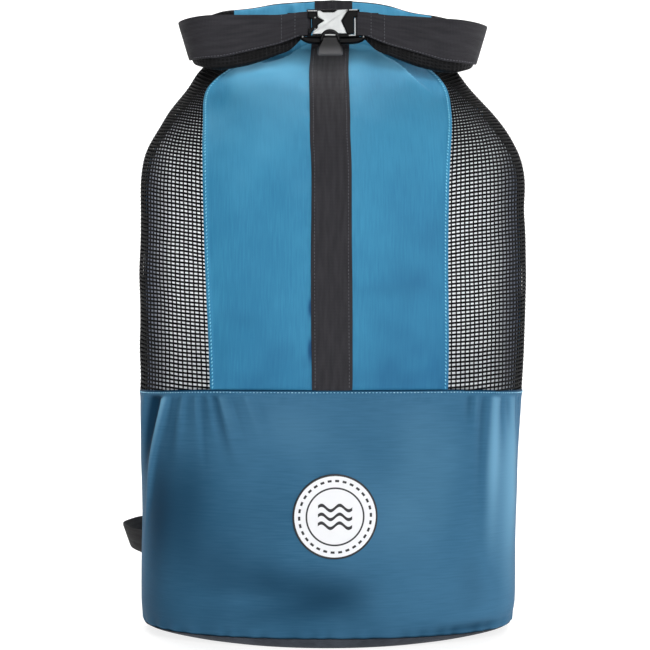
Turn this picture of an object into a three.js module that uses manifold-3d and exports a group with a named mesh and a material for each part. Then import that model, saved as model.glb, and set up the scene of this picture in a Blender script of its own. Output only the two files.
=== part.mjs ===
// A roll-top mesh backpack: a coated-cloth lower body on an oval base, a cloth front and back, mesh
// sides, a rolled mouth whose two ends come round to the front and clip together, and shoulder straps.
// Millimetres, +Z up. The front faces -Y, and the origin is the middle of the base on the ground.
import * as THREE from 'three';
import { mergeVertices } from 'three/addons/utils/BufferGeometryUtils.js';
import Module from 'manifold-3d';

const wasm = await Module();
wasm.setup();

// Driving dimensions
const gap = 0.3; // clearance between neighbouring pieces
const clothThickness = 2;
const meshThickness = 1.6;
const webbingThickness = 1.6;
const baseRimHeight = 9.2; // the base turns up to here
const seamHeight = 250; // hem of the lower body
const neckHeight = 598; // the walls end here, under the roll
const lean = { amount: 5.5, height: 470 }; // the soft body leans to +X, no further above this height
const meshTuck = 22; // the mesh runs this far behind the widest point of the side
const frontStrap = { halfWidth: 19.5, top: 652 };
const patch = { along: 6, height: 129.5, radius: 41, thickness: 1 };
const roll = { backLine: 4, bendAt: 117, bendRadius: 28, clothHalf: 97, edgeRadius: 4, thinEdge: 0.2 };
const buckle = { barAt: 25.5, barRadius: 1.2, middle: -57.5, front: -62.3, rear: -53.5 };
const buckleHeight = { low: 603.5, high: 631.5 };
const plateThickness = 1.8;
const pull = { middle: -3, low: 584.5, shoulder: 598, thickness: 3.5 };
const pullArch = { height: 600.6, radius: 10.3, holeHeight: 601, holeRadius: 6.4 };

// The outside of the body, a row for each height: half width, depth in front of and behind the
// middle line, where that line lies, and how square the section is (2 is an ellipse).
const sections = [
  { height: 9.5, halfWidth: 191.5, front: 121, back: 112, middle: 0, square: 2.3 },
  { height: 35, halfWidth: 194.5, front: 126, back: 116, middle: 0, square: 2.4 },
  { height: 130, halfWidth: 195, front: 130, back: 117, middle: 0, square: 2.4 },
  { height: 250, halfWidth: 197, front: 128, back: 115, middle: 0, square: 2.4 },
  { height: 350, halfWidth: 199, front: 124, back: 111, middle: 0, square: 2.4 },
  { height: 430, halfWidth: 199, front: 117, back: 105, middle: 0, square: 2.4 },
  { height: 470, halfWidth: 198.5, front: 109, back: 98, middle: 0, square: 2.4 },
  { height: 497, halfWidth: 192.5, front: 99, back: 88, middle: 0, square: 2.4 },
  { height: 530, halfWidth: 172, front: 79, back: 69, middle: 0, square: 2.4 },
  { height: 560, halfWidth: 148, front: 54, back: 48, middle: 0.5, square: 2.5 },
  { height: 576, halfWidth: 137, front: 36, back: 33, middle: 1.5, square: 2.7 },
  { height: 587, halfWidth: 128.5, front: 21, back: 20, middle: 2.7, square: 3.2 },
  { height: 598, halfWidth: 126, front: 7, back: 7, middle: 4, square: 4 },
];

// The front panel's edges, along the cloth from the front middle, a row for each height.
const frontPanelEdge = [
  { height: 250, left: 119.5, right: 116 },
  { height: 330, left: 124, right: 115.5 },
  { height: 400, left: 128, right: 114.5 },
  { height: 470, left: 131, right: 116 },
  { height: 530, left: 133.5, right: 120.5 },
  { height: 552, left: 132, right: 118.5 },
  { height: 566, left: 121.5, right: 111 },
  { height: 578, left: 107, right: 100.5 },
  { height: 598, left: 97, right: 96 },
];

// Gathers that hang from the hem: place along the cloth from the front middle, depth, width, and
// how far below the hem they are deepest.
const gathers = [
  { along: -212, depth: 4, width: 11, drop: 35 },
  { along: -184, depth: 5, width: 10, drop: 40 },
  { along: -156, depth: 6, width: 11, drop: 45 },
  { along: -126, depth: 4, width: 10, drop: 30 },
  { along: 150, depth: 4, width: 11, drop: 30 },
  { along: 180, depth: 5.5, width: 11, drop: 40 },
  { along: 208, depth: 4, width: 10, drop: 35 },
];

// Soft hollows of the lower body: place along the cloth and height, depth, and how far they spread.
const hollows = [
  { along: 0, height: 56, depth: 4.5, spread: 75, rise: 15 },
  { along: -125, height: 46, depth: 3, spread: 45, rise: 17 },
  { along: 135, height: 50, depth: 4, spread: 40, rise: 14 },
  { along: 60, height: 205, depth: 2.5, spread: 50, rise: 25 },
];

// The rolled mouth, a row for each distance from its middle back round to a front end: its top and
// bottom, thickness, and how far it flares outwards for each millimetre of height.
const rollRows = [
  { way: 0, top: 654.3, bottom: 598.4, thick: 14, flare: 0 },
  { way: 57, top: 650.5, bottom: 598.4, thick: 14, flare: 0 },
  { way: 80, top: 646.4, bottom: 598.4, thick: 14, flare: 0 },
  { way: 104, top: 641.5, bottom: 598.4, thick: 14, flare: 0.03 },
  { way: 129, top: 634.5, bottom: 598.4, thick: 13, flare: 0.14 },
  { way: 142, top: 629, bottom: 591, thick: 12, flare: 0.24 },
  { way: 159.5, top: 624.5, bottom: 584, thick: 12, flare: 0.3 },
  { way: 182, top: 625, bottom: 578, thick: 13, flare: 0.25 },
  { way: 203.5, top: 626, bottom: 574, thick: 14, flare: 0.15 },
  { way: 233, top: 626, bottom: 577, thick: 12, flare: 0.06 },
  { way: 250, top: 626, bottom: 581.5, thick: 10, flare: 0.03 },
  { way: 267, top: 626, bottom: 588, thick: 7.5, flare: 0 },
  { way: 273, top: 625.5, bottom: 590, thick: 3.2, flare: 0 },
  { way: 281, top: 625, bottom: 593, thick: 2.4, flare: 0 },
];
const rightDrop = { way: 84, depth: 4.4, width: 28 }; // the arch hangs lower here than on the left

// The band round the roll, on the same distances.
const bandRows = [
  { way: 0, top: 655.3, bottom: 617 },
  { way: 57, top: 651.5, bottom: 613 },
  { way: 80, top: 647.4, bottom: 609 },
  { way: 104, top: 642.5, bottom: 604 },
  { way: 129, top: 635.5, bottom: 597 },
  { way: 159.5, top: 625.5, bottom: 587.5 },
  { way: 203.5, top: 627, bottom: 585 },
  { way: 233, top: 627, bottom: 590 },
  { way: 267, top: 627, bottom: 597.5 },
];

// The band's end from the roll to the buckle: place beside the middle and in depth, top and bottom.
const bandEnd = [
  { side: 45, depth: -58.2, top: 627.6, bottom: 600.5 },
  { side: 38, depth: -59.8, top: 628.4, bottom: 603.6 },
  { side: 32, depth: -60.3, top: 629.3, bottom: 605.7 },
  { side: 25.5, depth: -60.3, top: 629.3, bottom: 605.7 },
];
const bandReturn = { side: 46, depth: -54.7 };

// A shoulder strap's middle line on the back: height, distance from the back middle, half width.
const shoulderRows = [
  { height: 245, aside: 100, half: 26 },
  { height: 320, aside: 99, half: 29 },
  { height: 400, aside: 86, half: 31 },
  { height: 480, aside: 66, half: 31 },
  { height: 545, aside: 48, half: 28 },
];
const shoulderPad = { seat: 0.8, thickness: 9, edgeThickness: 4 };

// The webbing under a strap: distance from the back middle, height, and how far its slack stands off.
const webbingRows = [
  { aside: 100, height: 240, slack: 0 },
  { aside: 112, height: 190, slack: 0 },
  { aside: 138, height: 148, slack: 0.1 },
  { aside: 172, height: 114, slack: 0.5 },
  { aside: 204, height: 99, slack: 1 },
  { aside: 226, height: 95, slack: 0.95 },
  { aside: 244, height: 92, slack: 0 },
];
const webbing = { halfWidth: 15, seat: 0.9, slackTilt: 0.16 };
const leftWebbing = { slack: 23.5, end: 6 }; // how slack, and the table's row that it ends at
const rightWebbing = { slack: 0, end: 4.6 };

// Smooth value of one column of a table: cubic spans whose slopes follow the neighbouring rows.
function read(rows, along, column, at) {
  const last = rows.length - 1;
  let i = 0;
  while (i < last - 1 && at > rows[i + 1][along]) i += 1;
  const slope = (k) => {
    const before = rows[Math.max(k - 1, 0)];
    const after = rows[Math.min(k + 1, last)];
    return (after[column] - before[column]) / (after[along] - before[along]);
  };
  const span = rows[i + 1][along] - rows[i][along];
  const t = THREE.MathUtils.clamp((at - rows[i][along]) / span, 0, 1);
  const keep = 2 * t ** 3 - 3 * t ** 2 + 1;
  const leave = (t ** 3 - 2 * t ** 2 + t) * span * slope(i);
  const arrive = (t ** 3 - t ** 2) * span * slope(i + 1);
  return keep * rows[i][column] + (1 - keep) * rows[i + 1][column] + leave + arrive;
}

// Half of a body section from the front middle round +X to the back middle, with its lengths.
const outlines = new Map();

function halfOutline(height) {
  if (outlines.has(height)) return outlines.get(height);
  const column = (name) => read(sections, 'height', name, height);
  const power = 2 / column('square');
  const steps = 180;
  const points = [];
  const lengths = [0];
  for (let k = 0; k <= steps; k += 1) {
    const turn = (Math.PI * k) / steps;
    const side = column('halfWidth') * Math.sin(turn) ** power;
    const ahead = Math.sign(Math.cos(turn)) * Math.abs(Math.cos(turn)) ** power;
    const depth = column('middle') - ahead * column(ahead > 0 ? 'front' : 'back');
    points.push(new THREE.Vector2(side, depth));
    if (k > 0) lengths.push(lengths[k - 1] + points[k].distanceTo(points[k - 1]));
  }
  const outline = { points, lengths, total: lengths[steps], side: lengths[steps / 2] };
  outlines.set(height, outline);
  return outline;
}

// A point of the smooth body at a height and a distance along the cloth from the front middle.
function bodyPoint(height, along) {
  const held = Math.min(height, neckHeight);
  const outline = halfOutline(held);
  const round = 2 * outline.total;
  const wrapped = along - round * Math.round(along / round);
  const distance = Math.abs(wrapped);
  let k = outline.lengths.findIndex((length) => length >= distance);
  if (k < 1) k = k < 0 ? outline.lengths.length - 1 : 1;
  const start = outline.lengths[k - 1];
  const part = (distance - start) / (outline.lengths[k] - start);
  const spot = outline.points[k - 1].clone().lerp(outline.points[k], part);
  const shift = lean.amount * Math.min(held / lean.height, 1);
  return new THREE.Vector3(Math.sign(wrapped || 1) * spot.x + shift, spot.y, held);
}

// How far the cloth of the lower body stands in at its gathers and hollows.
function foldDepth(height, along) {
  if (height > seamHeight) return 0;
  let depth = 0;
  for (const row of gathers) {
    const below = (seamHeight - height) / row.drop;
    const grow = below * Math.exp(1 - below);
    depth += row.depth * grow * Math.exp(-(((along - row.along) / row.width) ** 2));
  }
  for (const row of hollows) {
    const across = ((along - row.along) / row.spread) ** 2;
    depth += row.depth * Math.exp(-across - ((height - row.height) / row.rise) ** 2);
  }
  return depth;
}

// A point standing off the body's outside along its normal; below zero is inwards.
function clothPoint(height, along, offset) {
  const reach = 1.5;
  const across = bodyPoint(height, along + reach).sub(bodyPoint(height, along - reach));
  const up = bodyPoint(height + reach, along).sub(bodyPoint(height - reach, along));
  const normal = across.cross(up).normalize();
  return bodyPoint(height, along).addScaledVector(normal, offset - foldDepth(height, along));
}

// A closed body from points and triangles, turned so that its faces point out.
function closedBody(points, triangles) {
  let volume = 0;
  for (const [a, b, c] of triangles) {
    volume += points[a].dot(points[b].clone().cross(points[c]));
  }
  const faces = volume > 0 ? triangles : triangles.map(([a, b, c]) => [a, c, b]);
  const geometry = new THREE.BufferGeometry().setFromPoints(points);
  geometry.setIndex(faces.flat());
  return geometry;
}

// A sheet with thickness between an outer and an inner grid of points; a closed one wraps round.
function sheetBody(outer, inner, closed = false) {
  const rows = outer.length;
  const columns = outer[0].length;
  const points = [...outer.flat(), ...inner.flat()];
  const at = (side, i, j) => side * rows * columns + i * columns + (j % columns);
  const triangles = [];
  const quad = (a, b, c, d) => triangles.push([a, b, c], [a, c, d]);
  const spans = closed ? columns : columns - 1;
  for (let i = 0; i < rows - 1; i += 1) {
    for (let j = 0; j < spans; j += 1) {
      quad(at(0, i, j), at(0, i, j + 1), at(0, i + 1, j + 1), at(0, i + 1, j));
      quad(at(1, i, j), at(1, i + 1, j), at(1, i + 1, j + 1), at(1, i, j + 1));
    }
  }
  for (let j = 0; j < spans; j += 1) {
    quad(at(0, 0, j + 1), at(0, 0, j), at(1, 0, j), at(1, 0, j + 1));
    quad(at(0, rows - 1, j), at(0, rows - 1, j + 1), at(1, rows - 1, j + 1), at(1, rows - 1, j));
  }
  if (!closed) {
    for (let i = 0; i < rows - 1; i += 1) {
      quad(at(0, i, 0), at(0, i + 1, 0), at(1, i + 1, 0), at(1, i, 0));
      quad(at(0, i + 1, spans), at(0, i, spans), at(1, i, spans), at(1, i + 1, spans));
    }
  }
  return closedBody(points, triangles);
}

// A body carried through closed rings of points, capped at both ends.
function loftBody(rings) {
  const count = rings[0].length;
  const points = rings.flat();
  const triangles = [];
  for (let i = 0; i < rings.length - 1; i += 1) {
    for (let j = 0; j < count; j += 1) {
      const a = i * count + j;
      const b = i * count + ((j + 1) % count);
      triangles.push([a, b, b + count], [a, b + count, a + count]);
    }
  }
  const capCentre = (ring) => ring.reduce((sum, p) => sum.add(p), new THREE.Vector3()).divideScalar(count);
  const first = points.push(capCentre(rings[0])) - 1;
  const last = points.push(capCentre(rings[rings.length - 1])) - 1;
  const end = (rings.length - 1) * count;
  for (let j = 0; j < count; j += 1) {
    const next = (j + 1) % count;
    triangles.push([first, next, j], [last, end + j, end + next]);
  }
  return closedBody(points, triangles);
}

// An outline drawn in X and Z, carried in depth from its front face to its rear face.
function plateBody(shape, front, rear) {
  const settings = { depth: rear - front, bevelEnabled: false, curveSegments: 6 };
  const geometry = new THREE.ExtrudeGeometry(shape, settings);
  geometry.rotateX(Math.PI / 2);
  geometry.translate(0, rear, 0);
  geometry.deleteAttribute('normal');
  geometry.deleteAttribute('uv');
  return mergeVertices(geometry);
}

function boxBody(low, high) {
  const shape = new THREE.Shape();
  shape.moveTo(low.x, low.z);
  shape.lineTo(high.x, low.z);
  shape.lineTo(high.x, high.z);
  shape.lineTo(low.x, high.z);
  shape.closePath();
  return plateBody(shape, low.y, high.y);
}

// Several closed bodies joined into one.
function joined(bodies) {
  const solids = bodies.map((body) => {
    const mesh = new wasm.Mesh({
      numProp: 3,
      vertProperties: new Float32Array(body.attributes.position.array),
      triVerts: new Uint32Array(body.index.array),
    });
    return new wasm.Manifold(mesh);
  });
  const whole = solids.reduce((sum, solid) => sum.add(solid)).getMesh();
  const geometry = new THREE.BufferGeometry();
  geometry.setAttribute('position', new THREE.BufferAttribute(whole.vertProperties, 3));
  geometry.setIndex(new THREE.BufferAttribute(whole.triVerts, 1));
  return geometry;
}

// Materials
function finish(colour, roughness, metalness = 0) {
  return new THREE.MeshStandardMaterial({ color: colour, roughness, metalness });
}

const panelCloth = finish('#4889ae', 0.6);
const coatedCloth = finish('#3a6683', 0.4);
const baseCloth = finish('#33383f', 0.8);
const blackMesh = finish('#141518', 0.35);
const greyWebbing = finish('#3a3940', 0.75);
const blackPlastic = finish('#0e0e10', 0.3);
const blackRubber = finish('#121212', 0.5);
const blackWebbing = finish('#222222', 0.8);
const strapPadding = finish('#222428', 0.8);
const paleMetal = finish('#e4e6e3', 0.35, 0.6);
const palePatch = finish('#f2f2ee', 0.55);

const bag = new THREE.Group();
const rolledTop = new THREE.Group();
rolledTop.position.x = lean.amount;
bag.add(rolledTop);

function addPiece(name, geometry, material, group = bag) {
  const piece = new THREE.Mesh(geometry, material);
  piece.name = name;
  group.add(piece);
}

// Heights of a wall's rows, closer together towards the top where the body turns in.
function wallHeights(low, high, steps, crowding) {
  const heights = [];
  for (let i = 0; i <= steps; i += 1) {
    heights.push(low + (high - low) * (1 - (1 - i / steps) ** crowding));
  }
  return heights;
}

// Both faces of a wall of the body between two edges, each given as a distance along the cloth.
function wallGrids(heights, startEdge, endEdge, columns, outside, inside) {
  const face = (offset) => heights.map((height) => {
    const start = startEdge(height);
    const end = endEdge(height);
    const row = [];
    for (let j = 0; j <= columns; j += 1) {
      row.push(clothPoint(height, start + ((end - start) * j) / columns, offset));
    }
    return row;
  });
  return [face(outside), face(inside)];
}

// The base: a flat floor, a little pointed at its corners, whose edge turns up to meet the wall.
function makeBase() {
  const count = 40;
  const rim = sections[0];
  const floor = { halfWidth: 163, front: 118.5, back: 109, square: 1.8 };
  const turnUp = [
    { share: 0, height: 0 },
    { share: 0.32, height: 0.9 },
    { share: 0.62, height: 2.8 },
    { share: 0.86, height: 5.6 },
    { share: 0.97, height: baseRimHeight },
  ];
  const oval = (row, turn) => {
    const power = 2 / row.square;
    const side = Math.sign(Math.sin(turn)) * Math.abs(Math.sin(turn)) ** power;
    const ahead = Math.sign(Math.cos(turn)) * Math.abs(Math.cos(turn)) ** power;
    return new THREE.Vector2(side * row.halfWidth, -ahead * (ahead > 0 ? row.front : row.back));
  };
  const ring = (share, height, inset) => {
    const points = [];
    for (let k = 0; k < count; k += 1) {
      const turn = (2 * Math.PI * k) / count;
      const spot = oval(floor, turn).lerp(oval(rim, turn), share);
      spot.multiplyScalar(1 - inset / spot.length());
      points.push(new THREE.Vector3(spot.x, spot.y, height));
    }
    return points;
  };
  const outside = turnUp.map(({ share, height }) => ring(share, height, 0));
  const inside = turnUp.map(({ share, height }) => (
    ring(share, Math.min(height + clothThickness, baseRimHeight), clothThickness)
  ));
  return loftBody([...outside, ...inside.reverse()]);
}

addPiece('base_panel', makeBase(), baseCloth);

// The lower body: a closed wall from the base to the hem.
function makeLowerBody() {
  const columns = 80;
  const heights = wallHeights(baseRimHeight + gap, seamHeight - gap / 2, 9, 1);
  const face = (offset) => heights.map((height) => {
    const half = halfOutline(height).total;
    const row = [];
    for (let j = 0; j < columns; j += 1) {
      row.push(clothPoint(height, -half + (2 * half * j) / columns, offset));
    }
    return row;
  });
  return sheetBody(face(0), face(-clothThickness), true);
}

addPiece('lower_body', makeLowerBody(), coatedCloth);

// The upper walls: cloth in front and behind, mesh at the sides.
const upperHeights = wallHeights(seamHeight + gap / 2, neckHeight, 14, 1.35);
const leftEdge = (height) => -read(frontPanelEdge, 'height', 'left', height);
const rightEdge = (height) => read(frontPanelEdge, 'height', 'right', height);
const backEdge = (height) => halfOutline(height).side + meshTuck;
const roundBack = (height) => 2 * halfOutline(height).total - backEdge(height);

addPiece('front_panel', sheetBody(...wallGrids(
  upperHeights, (h) => leftEdge(h) + gap / 2, (h) => rightEdge(h) - gap / 2, 12, 0, -clothThickness,
)), panelCloth);
addPiece('back_panel', sheetBody(...wallGrids(
  upperHeights, (h) => backEdge(h) + gap / 2, (h) => roundBack(h) - gap / 2, 16, 0, -clothThickness,
)), coatedCloth);
addPiece('mesh_right', sheetBody(...wallGrids(
  upperHeights, (h) => rightEdge(h) + gap / 2, (h) => backEdge(h) - gap / 2, 12, 0, -meshThickness,
)), blackMesh);
addPiece('mesh_left', sheetBody(...wallGrids(
  upperHeights, (h) => -backEdge(h) + gap / 2, (h) => leftEdge(h) - gap / 2, 12, 0, -meshThickness,
)), blackMesh);

// The wide strap: up the front panel from the hem, then straight up the face of the roll.
function makeFrontStrap() {
  const heights = [...upperHeights, ...wallHeights(neckHeight, frontStrap.top, 4, 1).slice(1)];
  const face = (offset) => heights.map((height) => [-1, 0, 1].map((side) => {
    const spot = clothPoint(height, side * frontStrap.halfWidth, offset);
    if (height > neckHeight) spot.set(side * frontStrap.halfWidth + lean.amount, spot.y, height);
    return spot;
  }));
  return sheetBody(face(gap + webbingThickness), face(gap));
}

addPiece('centre_strap', makeFrontStrap(), greyWebbing);

// The rolled mouth in plan: straight along the back, round a half circle, and back along the front.
function rollPlan(way) {
  const side = Math.sign(way || 1);
  const distance = Math.abs(way);
  const bendEnd = roll.bendAt + Math.PI * roll.bendRadius;
  const turn = THREE.MathUtils.clamp((distance - roll.bendAt) / roll.bendRadius, 0, Math.PI);
  const across = Math.min(distance, roll.bendAt) - Math.max(distance - bendEnd, 0);
  const spot = new THREE.Vector2(
    across + roll.bendRadius * Math.sin(turn),
    roll.backLine - roll.bendRadius * (1 - Math.cos(turn)),
  );
  const out = new THREE.Vector2(Math.sin(turn), Math.cos(turn));
  return { spot: spot.setX(side * spot.x), out: out.setX(side * out.x) };
}

const rollColumn = (name, way) => read(rollRows, 'way', name, Math.abs(way));
const topDrop = (way) => rightDrop.depth * Math.exp(-(((way - rightDrop.way) / rightDrop.width) ** 2));
const rollTop = (way) => rollColumn('top', way) - topDrop(way);

// A point beside the roll's middle line, leaning out with its height as the roll flares.
function rollPoint(way, offset, height) {
  const { spot, out } = rollPlan(way);
  const middle = (rollTop(way) + rollColumn('bottom', way)) / 2;
  const reach = offset + rollColumn('flare', way) * (height - middle);
  return new THREE.Vector3(spot.x + out.x * reach, spot.y + out.y * reach, height);
}

function rollSection(way) {
  const half = rollColumn('thick', way) / 2;
  const top = rollTop(way);
  const bottom = rollColumn('bottom', way);
  const radius = Math.min(roll.edgeRadius, half - roll.thinEdge);
  const points = [];
  for (let corner = 0; corner < 4; corner += 1) {
    for (let k = 0; k < 3; k += 1) {
      const turn = (Math.PI / 2) * (corner + k / 2);
      const sideways = (corner === 0 || corner === 3 ? 1 : -1) * (half - radius);
      const level = corner < 2 ? top - radius : bottom + radius;
      points.push(rollPoint(way, sideways + radius * Math.cos(turn), level + radius * Math.sin(turn)));
    }
  }
  return points;
}

// Places along the roll shared by the roll and its band, so that their facets run side by side.
const rollEnd = rollRows[rollRows.length - 1].way;
const bandLeaves = bandRows[bandRows.length - 1].way;
const rollSteps = 32;

function rollPlaces(from, to) {
  const places = [from];
  for (let k = -rollSteps; k <= rollSteps; k += 1) {
    const way = (rollEnd * k) / rollSteps;
    if (way > from + 1 && way < to - 1) places.push(way);
  }
  return [...places, to];
}

function rollPiece(from, to) {
  return loftBody(rollPlaces(from, to).map(rollSection));
}

addPiece('roll_centre', rollPiece(-roll.clothHalf, roll.clothHalf), panelCloth, rolledTop);
addPiece('roll_right', rollPiece(roll.clothHalf + gap, rollEnd), blackMesh, rolledTop);
addPiece('roll_left', rollPiece(-rollEnd, -roll.clothHalf - gap), blackMesh, rolledTop);

// Half of the band: round the outside of the roll, then round a bar of the buckle and back.
function bandStations(side) {
  const stations = [];
  const offset = (way) => rollColumn('thick', way) / 2 + gap + webbingThickness / 2;
  for (const distance of rollPlaces(0, bandLeaves)) {
    const way = side * distance;
    const edge = (name) => rollPoint(way, offset(way), read(bandRows, 'way', name, distance) - topDrop(way));
    stations.push({ bottom: edge('bottom'), top: edge('top') });
  }
  const place = (beside, depth, row) => stations.push({
    bottom: new THREE.Vector3(side * beside, depth, row.bottom),
    top: new THREE.Vector3(side * beside, depth, row.top),
  });
  for (const row of bandEnd) place(row.side, row.depth, row);
  const last = bandEnd[bandEnd.length - 1];
  const wrap = buckle.middle - last.depth;
  const turns = 8;
  for (let k = 1; k <= turns; k += 1) {
    const turn = (Math.PI * k) / turns;
    place(buckle.barAt - wrap * Math.sin(turn), buckle.middle - wrap * Math.cos(turn), last);
  }
  place((buckle.barAt + bandReturn.side) / 2, bandReturn.depth, last);
  place(bandReturn.side, bandReturn.depth, last);
  return stations;
}

function makeBand() {
  const stations = [...bandStations(-1).slice(1).reverse(), ...bandStations(1)];
  const face = (offset) => stations.map((station, i) => ['bottom', 'top'].map((edge) => {
    const before = stations[Math.max(i - 1, 0)][edge];
    const after = stations[Math.min(i + 1, stations.length - 1)][edge];
    const out = new THREE.Vector3(before.y - after.y, after.x - before.x, 0).normalize();
    return station[edge].clone().addScaledVector(out, offset);
  }));
  return sheetBody(face(webbingThickness / 2), face(-webbingThickness / 2));
}

addPiece('closure_band', makeBand(), greyWebbing, rolledTop);

// A buckle half: a block, a bar for the band's loop, and an arm above and below the band.
function makeBuckleHalf(side) {
  const armThickness = 1.6;
  const outer = buckle.barAt + buckle.barRadius;
  const block = { near: gap / 2, far: 17.4 };
  const span = (near, far) => [Math.min(side * near, side * far), Math.max(side * near, side * far)];
  const piece = ([left, right], [front, rear], [low, high]) => boxBody(
    new THREE.Vector3(left, front, low),
    new THREE.Vector3(right, rear, high),
  );
  const depth = [buckle.front, buckle.rear];
  const barDepth = [buckle.middle - buckle.barRadius, buckle.middle + buckle.barRadius];
  const whole = [buckleHeight.low, buckleHeight.high];
  return joined([
    piece(span(block.near, block.far), depth, whole),
    piece(span(buckle.barAt - buckle.barRadius, outer), barDepth, whole),
    piece(span(block.far - 1, outer), depth, [buckleHeight.high - armThickness, buckleHeight.high]),
    piece(span(block.far - 1, outer), depth, [buckleHeight.low, buckleHeight.low + armThickness]),
  ]);
}

addPiece('buckle_left', makeBuckleHalf(-1), blackPlastic, rolledTop);
addPiece('buckle_right', makeBuckleHalf(1), blackPlastic, rolledTop);

// The pale plate on the buckle's face, notched at both sides, with the tongue that the pull hangs on.
function makePlate() {
  const corners = [
    { side: -16.2, height: 629.4 },
    { side: -14.4, height: 625.5 },
    { side: -7.9, height: 619.2 },
    { side: -14.2, height: 613.4 },
    { side: -18.5, height: 606.8 },
    { side: 13.4, height: 606.8 },
    { side: 9, height: 619.2 },
    { side: 14.3, height: 630.6 },
    { side: 4.5, height: 630 },
    { side: 2.1, height: 627.6 },
    { side: -9.5, height: 627.4 },
    { side: -11, height: 629 },
  ];
  const tongue = { half: 4.2, low: 601.3, high: 605, into: 608 };
  const rear = buckle.front - gap;
  const front = rear - plateThickness;
  const shape = new THREE.Shape(corners.map(({ side, height }) => new THREE.Vector2(side, height)));
  const tongueBox = (face, high) => boxBody(
    new THREE.Vector3(pull.middle - tongue.half, face, tongue.low),
    new THREE.Vector3(pull.middle + tongue.half, rear, high),
  );
  return joined([
    plateBody(shape, front, rear),
    tongueBox(front, tongue.into),
    tongueBox(front - gap - pull.thickness, tongue.high),
  ]);
}

addPiece('buckle_plate', makePlate(), paleMetal, rolledTop);

// The dark bar under the buckle, deepest in the middle.
function makePullBar() {
  const half = 31;
  const end = { low: 600.6, high: 602.4 };
  const sag = 592.4;
  const behind = buckle.rear - 2;
  const seat = buckleHeight.low - gap;
  const shape = new THREE.Shape();
  shape.moveTo(-half, end.low);
  shape.quadraticCurveTo(0, sag, half, end.low);
  shape.lineTo(half, end.high);
  shape.lineTo(buckle.barAt, seat);
  shape.lineTo(-buckle.barAt, seat);
  shape.lineTo(-half, end.high);
  shape.closePath();
  return plateBody(shape, buckle.front, behind);
}

addPiece('pull_bar', makePullBar(), blackPlastic, rolledTop);

// The pull: an arch over the plate's tongue, with a flared finger tab below it.
function makePull() {
  const tab = { half: 12.3, neckHalf: 7.5, round: 2.5 };
  const { middle, low, shoulder } = pull;
  const shape = new THREE.Shape();
  shape.moveTo(middle - tab.half + tab.round, low);
  shape.lineTo(middle + tab.half - tab.round, low);
  shape.quadraticCurveTo(middle + tab.half, low, middle + tab.half, low + tab.round);
  shape.lineTo(middle + tab.neckHalf, shoulder - tab.round);
  shape.quadraticCurveTo(middle + tab.neckHalf, shoulder, middle + pullArch.radius, pullArch.height);
  shape.absarc(middle, pullArch.height, pullArch.radius, 0, Math.PI, false);
  shape.quadraticCurveTo(middle - tab.neckHalf, shoulder, middle - tab.neckHalf, shoulder - tab.round);
  shape.lineTo(middle - tab.half, low + tab.round);
  shape.quadraticCurveTo(middle - tab.half, low, middle - tab.half + tab.round, low);
  const hole = new THREE.Path();
  hole.absarc(middle, pullArch.holeHeight, pullArch.holeRadius, 0, Math.PI, false);
  hole.closePath();
  shape.holes.push(hole);
  const rear = buckle.front - gap - plateThickness - gap;
  return plateBody(shape, rear - pull.thickness, rear);
}

addPiece('pull_tab', makePull(), blackRubber, rolledTop);

// The round patch, a thin disc that follows the cloth of the lower front.
function makePatch() {
  const rings = 3;
  const count = 28;
  const face = (offset) => {
    const rows = [];
    for (let i = 1; i <= rings; i += 1) {
      const row = [];
      for (let k = 0; k < count; k += 1) {
        const turn = (2 * Math.PI * k) / count;
        const reach = (patch.radius * i) / rings;
        const along = patch.along + reach * Math.cos(turn);
        row.push(clothPoint(patch.height + reach * Math.sin(turn), along, offset));
      }
      rows.push(row);
    }
    return rows;
  };
  return loftBody([...face(gap + patch.thickness), ...face(gap).reverse()]);
}

addPiece('round_patch', makePatch(), palePatch);

// A point standing off the back, at a height and a distance from the back middle towards one side.
function backPoint(side, height, aside, offset) {
  return clothPoint(height, side * (halfOutline(height).total - aside), offset);
}

// A shoulder strap: a padded band down the back, thinner at its edges.
function makeShoulderStrap(side) {
  const heights = wallHeights(shoulderRows[0].height, shoulderRows[shoulderRows.length - 1].height, 16, 1);
  const across = [-1, -0.6, 0, 0.6, 1];
  const face = (stand) => heights.map((height) => across.map((share) => {
    const half = read(shoulderRows, 'height', 'half', height);
    const aside = read(shoulderRows, 'height', 'aside', height) + share * half;
    return backPoint(side, height, aside, stand(share));
  }));
  const drop = shoulderPad.thickness - shoulderPad.edgeThickness;
  const outer = face((share) => shoulderPad.seat + shoulderPad.thickness - drop * share ** 4);
  return sheetBody(outer, face(() => shoulderPad.seat));
}

// The webbing from a strap's lower end round to the side, standing off by its slack.
function makeWebbing(side, { slack, end }) {
  const steps = 24;
  const numbered = webbingRows.map((row, order) => ({ order, ...row }));
  const column = (name, at) => read(numbered, 'order', name, at);
  const face = (offset) => {
    const rows = [];
    for (let i = 0; i <= steps; i += 1) {
      const at = (end * i) / steps;
      const step = 0.05;
      const along = new THREE.Vector2(
        column('aside', at + step) - column('aside', at - step),
        column('height', at + step) - column('height', at - step),
      ).normalize();
      rows.push([-1, 0, 1].map((edge) => {
        const reach = edge * webbing.halfWidth;
        const height = column('height', at) + along.x * reach;
        const aside = column('aside', at) - along.y * reach;
        const stand = slack * column('slack', at) * (1 + webbing.slackTilt * edge);
        return backPoint(side, height, aside, webbing.seat + stand + offset);
      }));
    }
    return rows;
  };
  return sheetBody(face(webbingThickness), face(0));
}

addPiece('shoulder_strap_left', makeShoulderStrap(-1), strapPadding);
addPiece('shoulder_strap_right', makeShoulderStrap(1), strapPadding);
addPiece('strap_webbing_left', makeWebbing(-1, leftWebbing), blackWebbing);
addPiece('strap_webbing_right', makeWebbing(1, rightWebbing), blackWebbing);

export default bag;
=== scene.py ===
# Roll-top mesh backpack: cloth, net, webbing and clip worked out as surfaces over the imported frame.
import math

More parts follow.
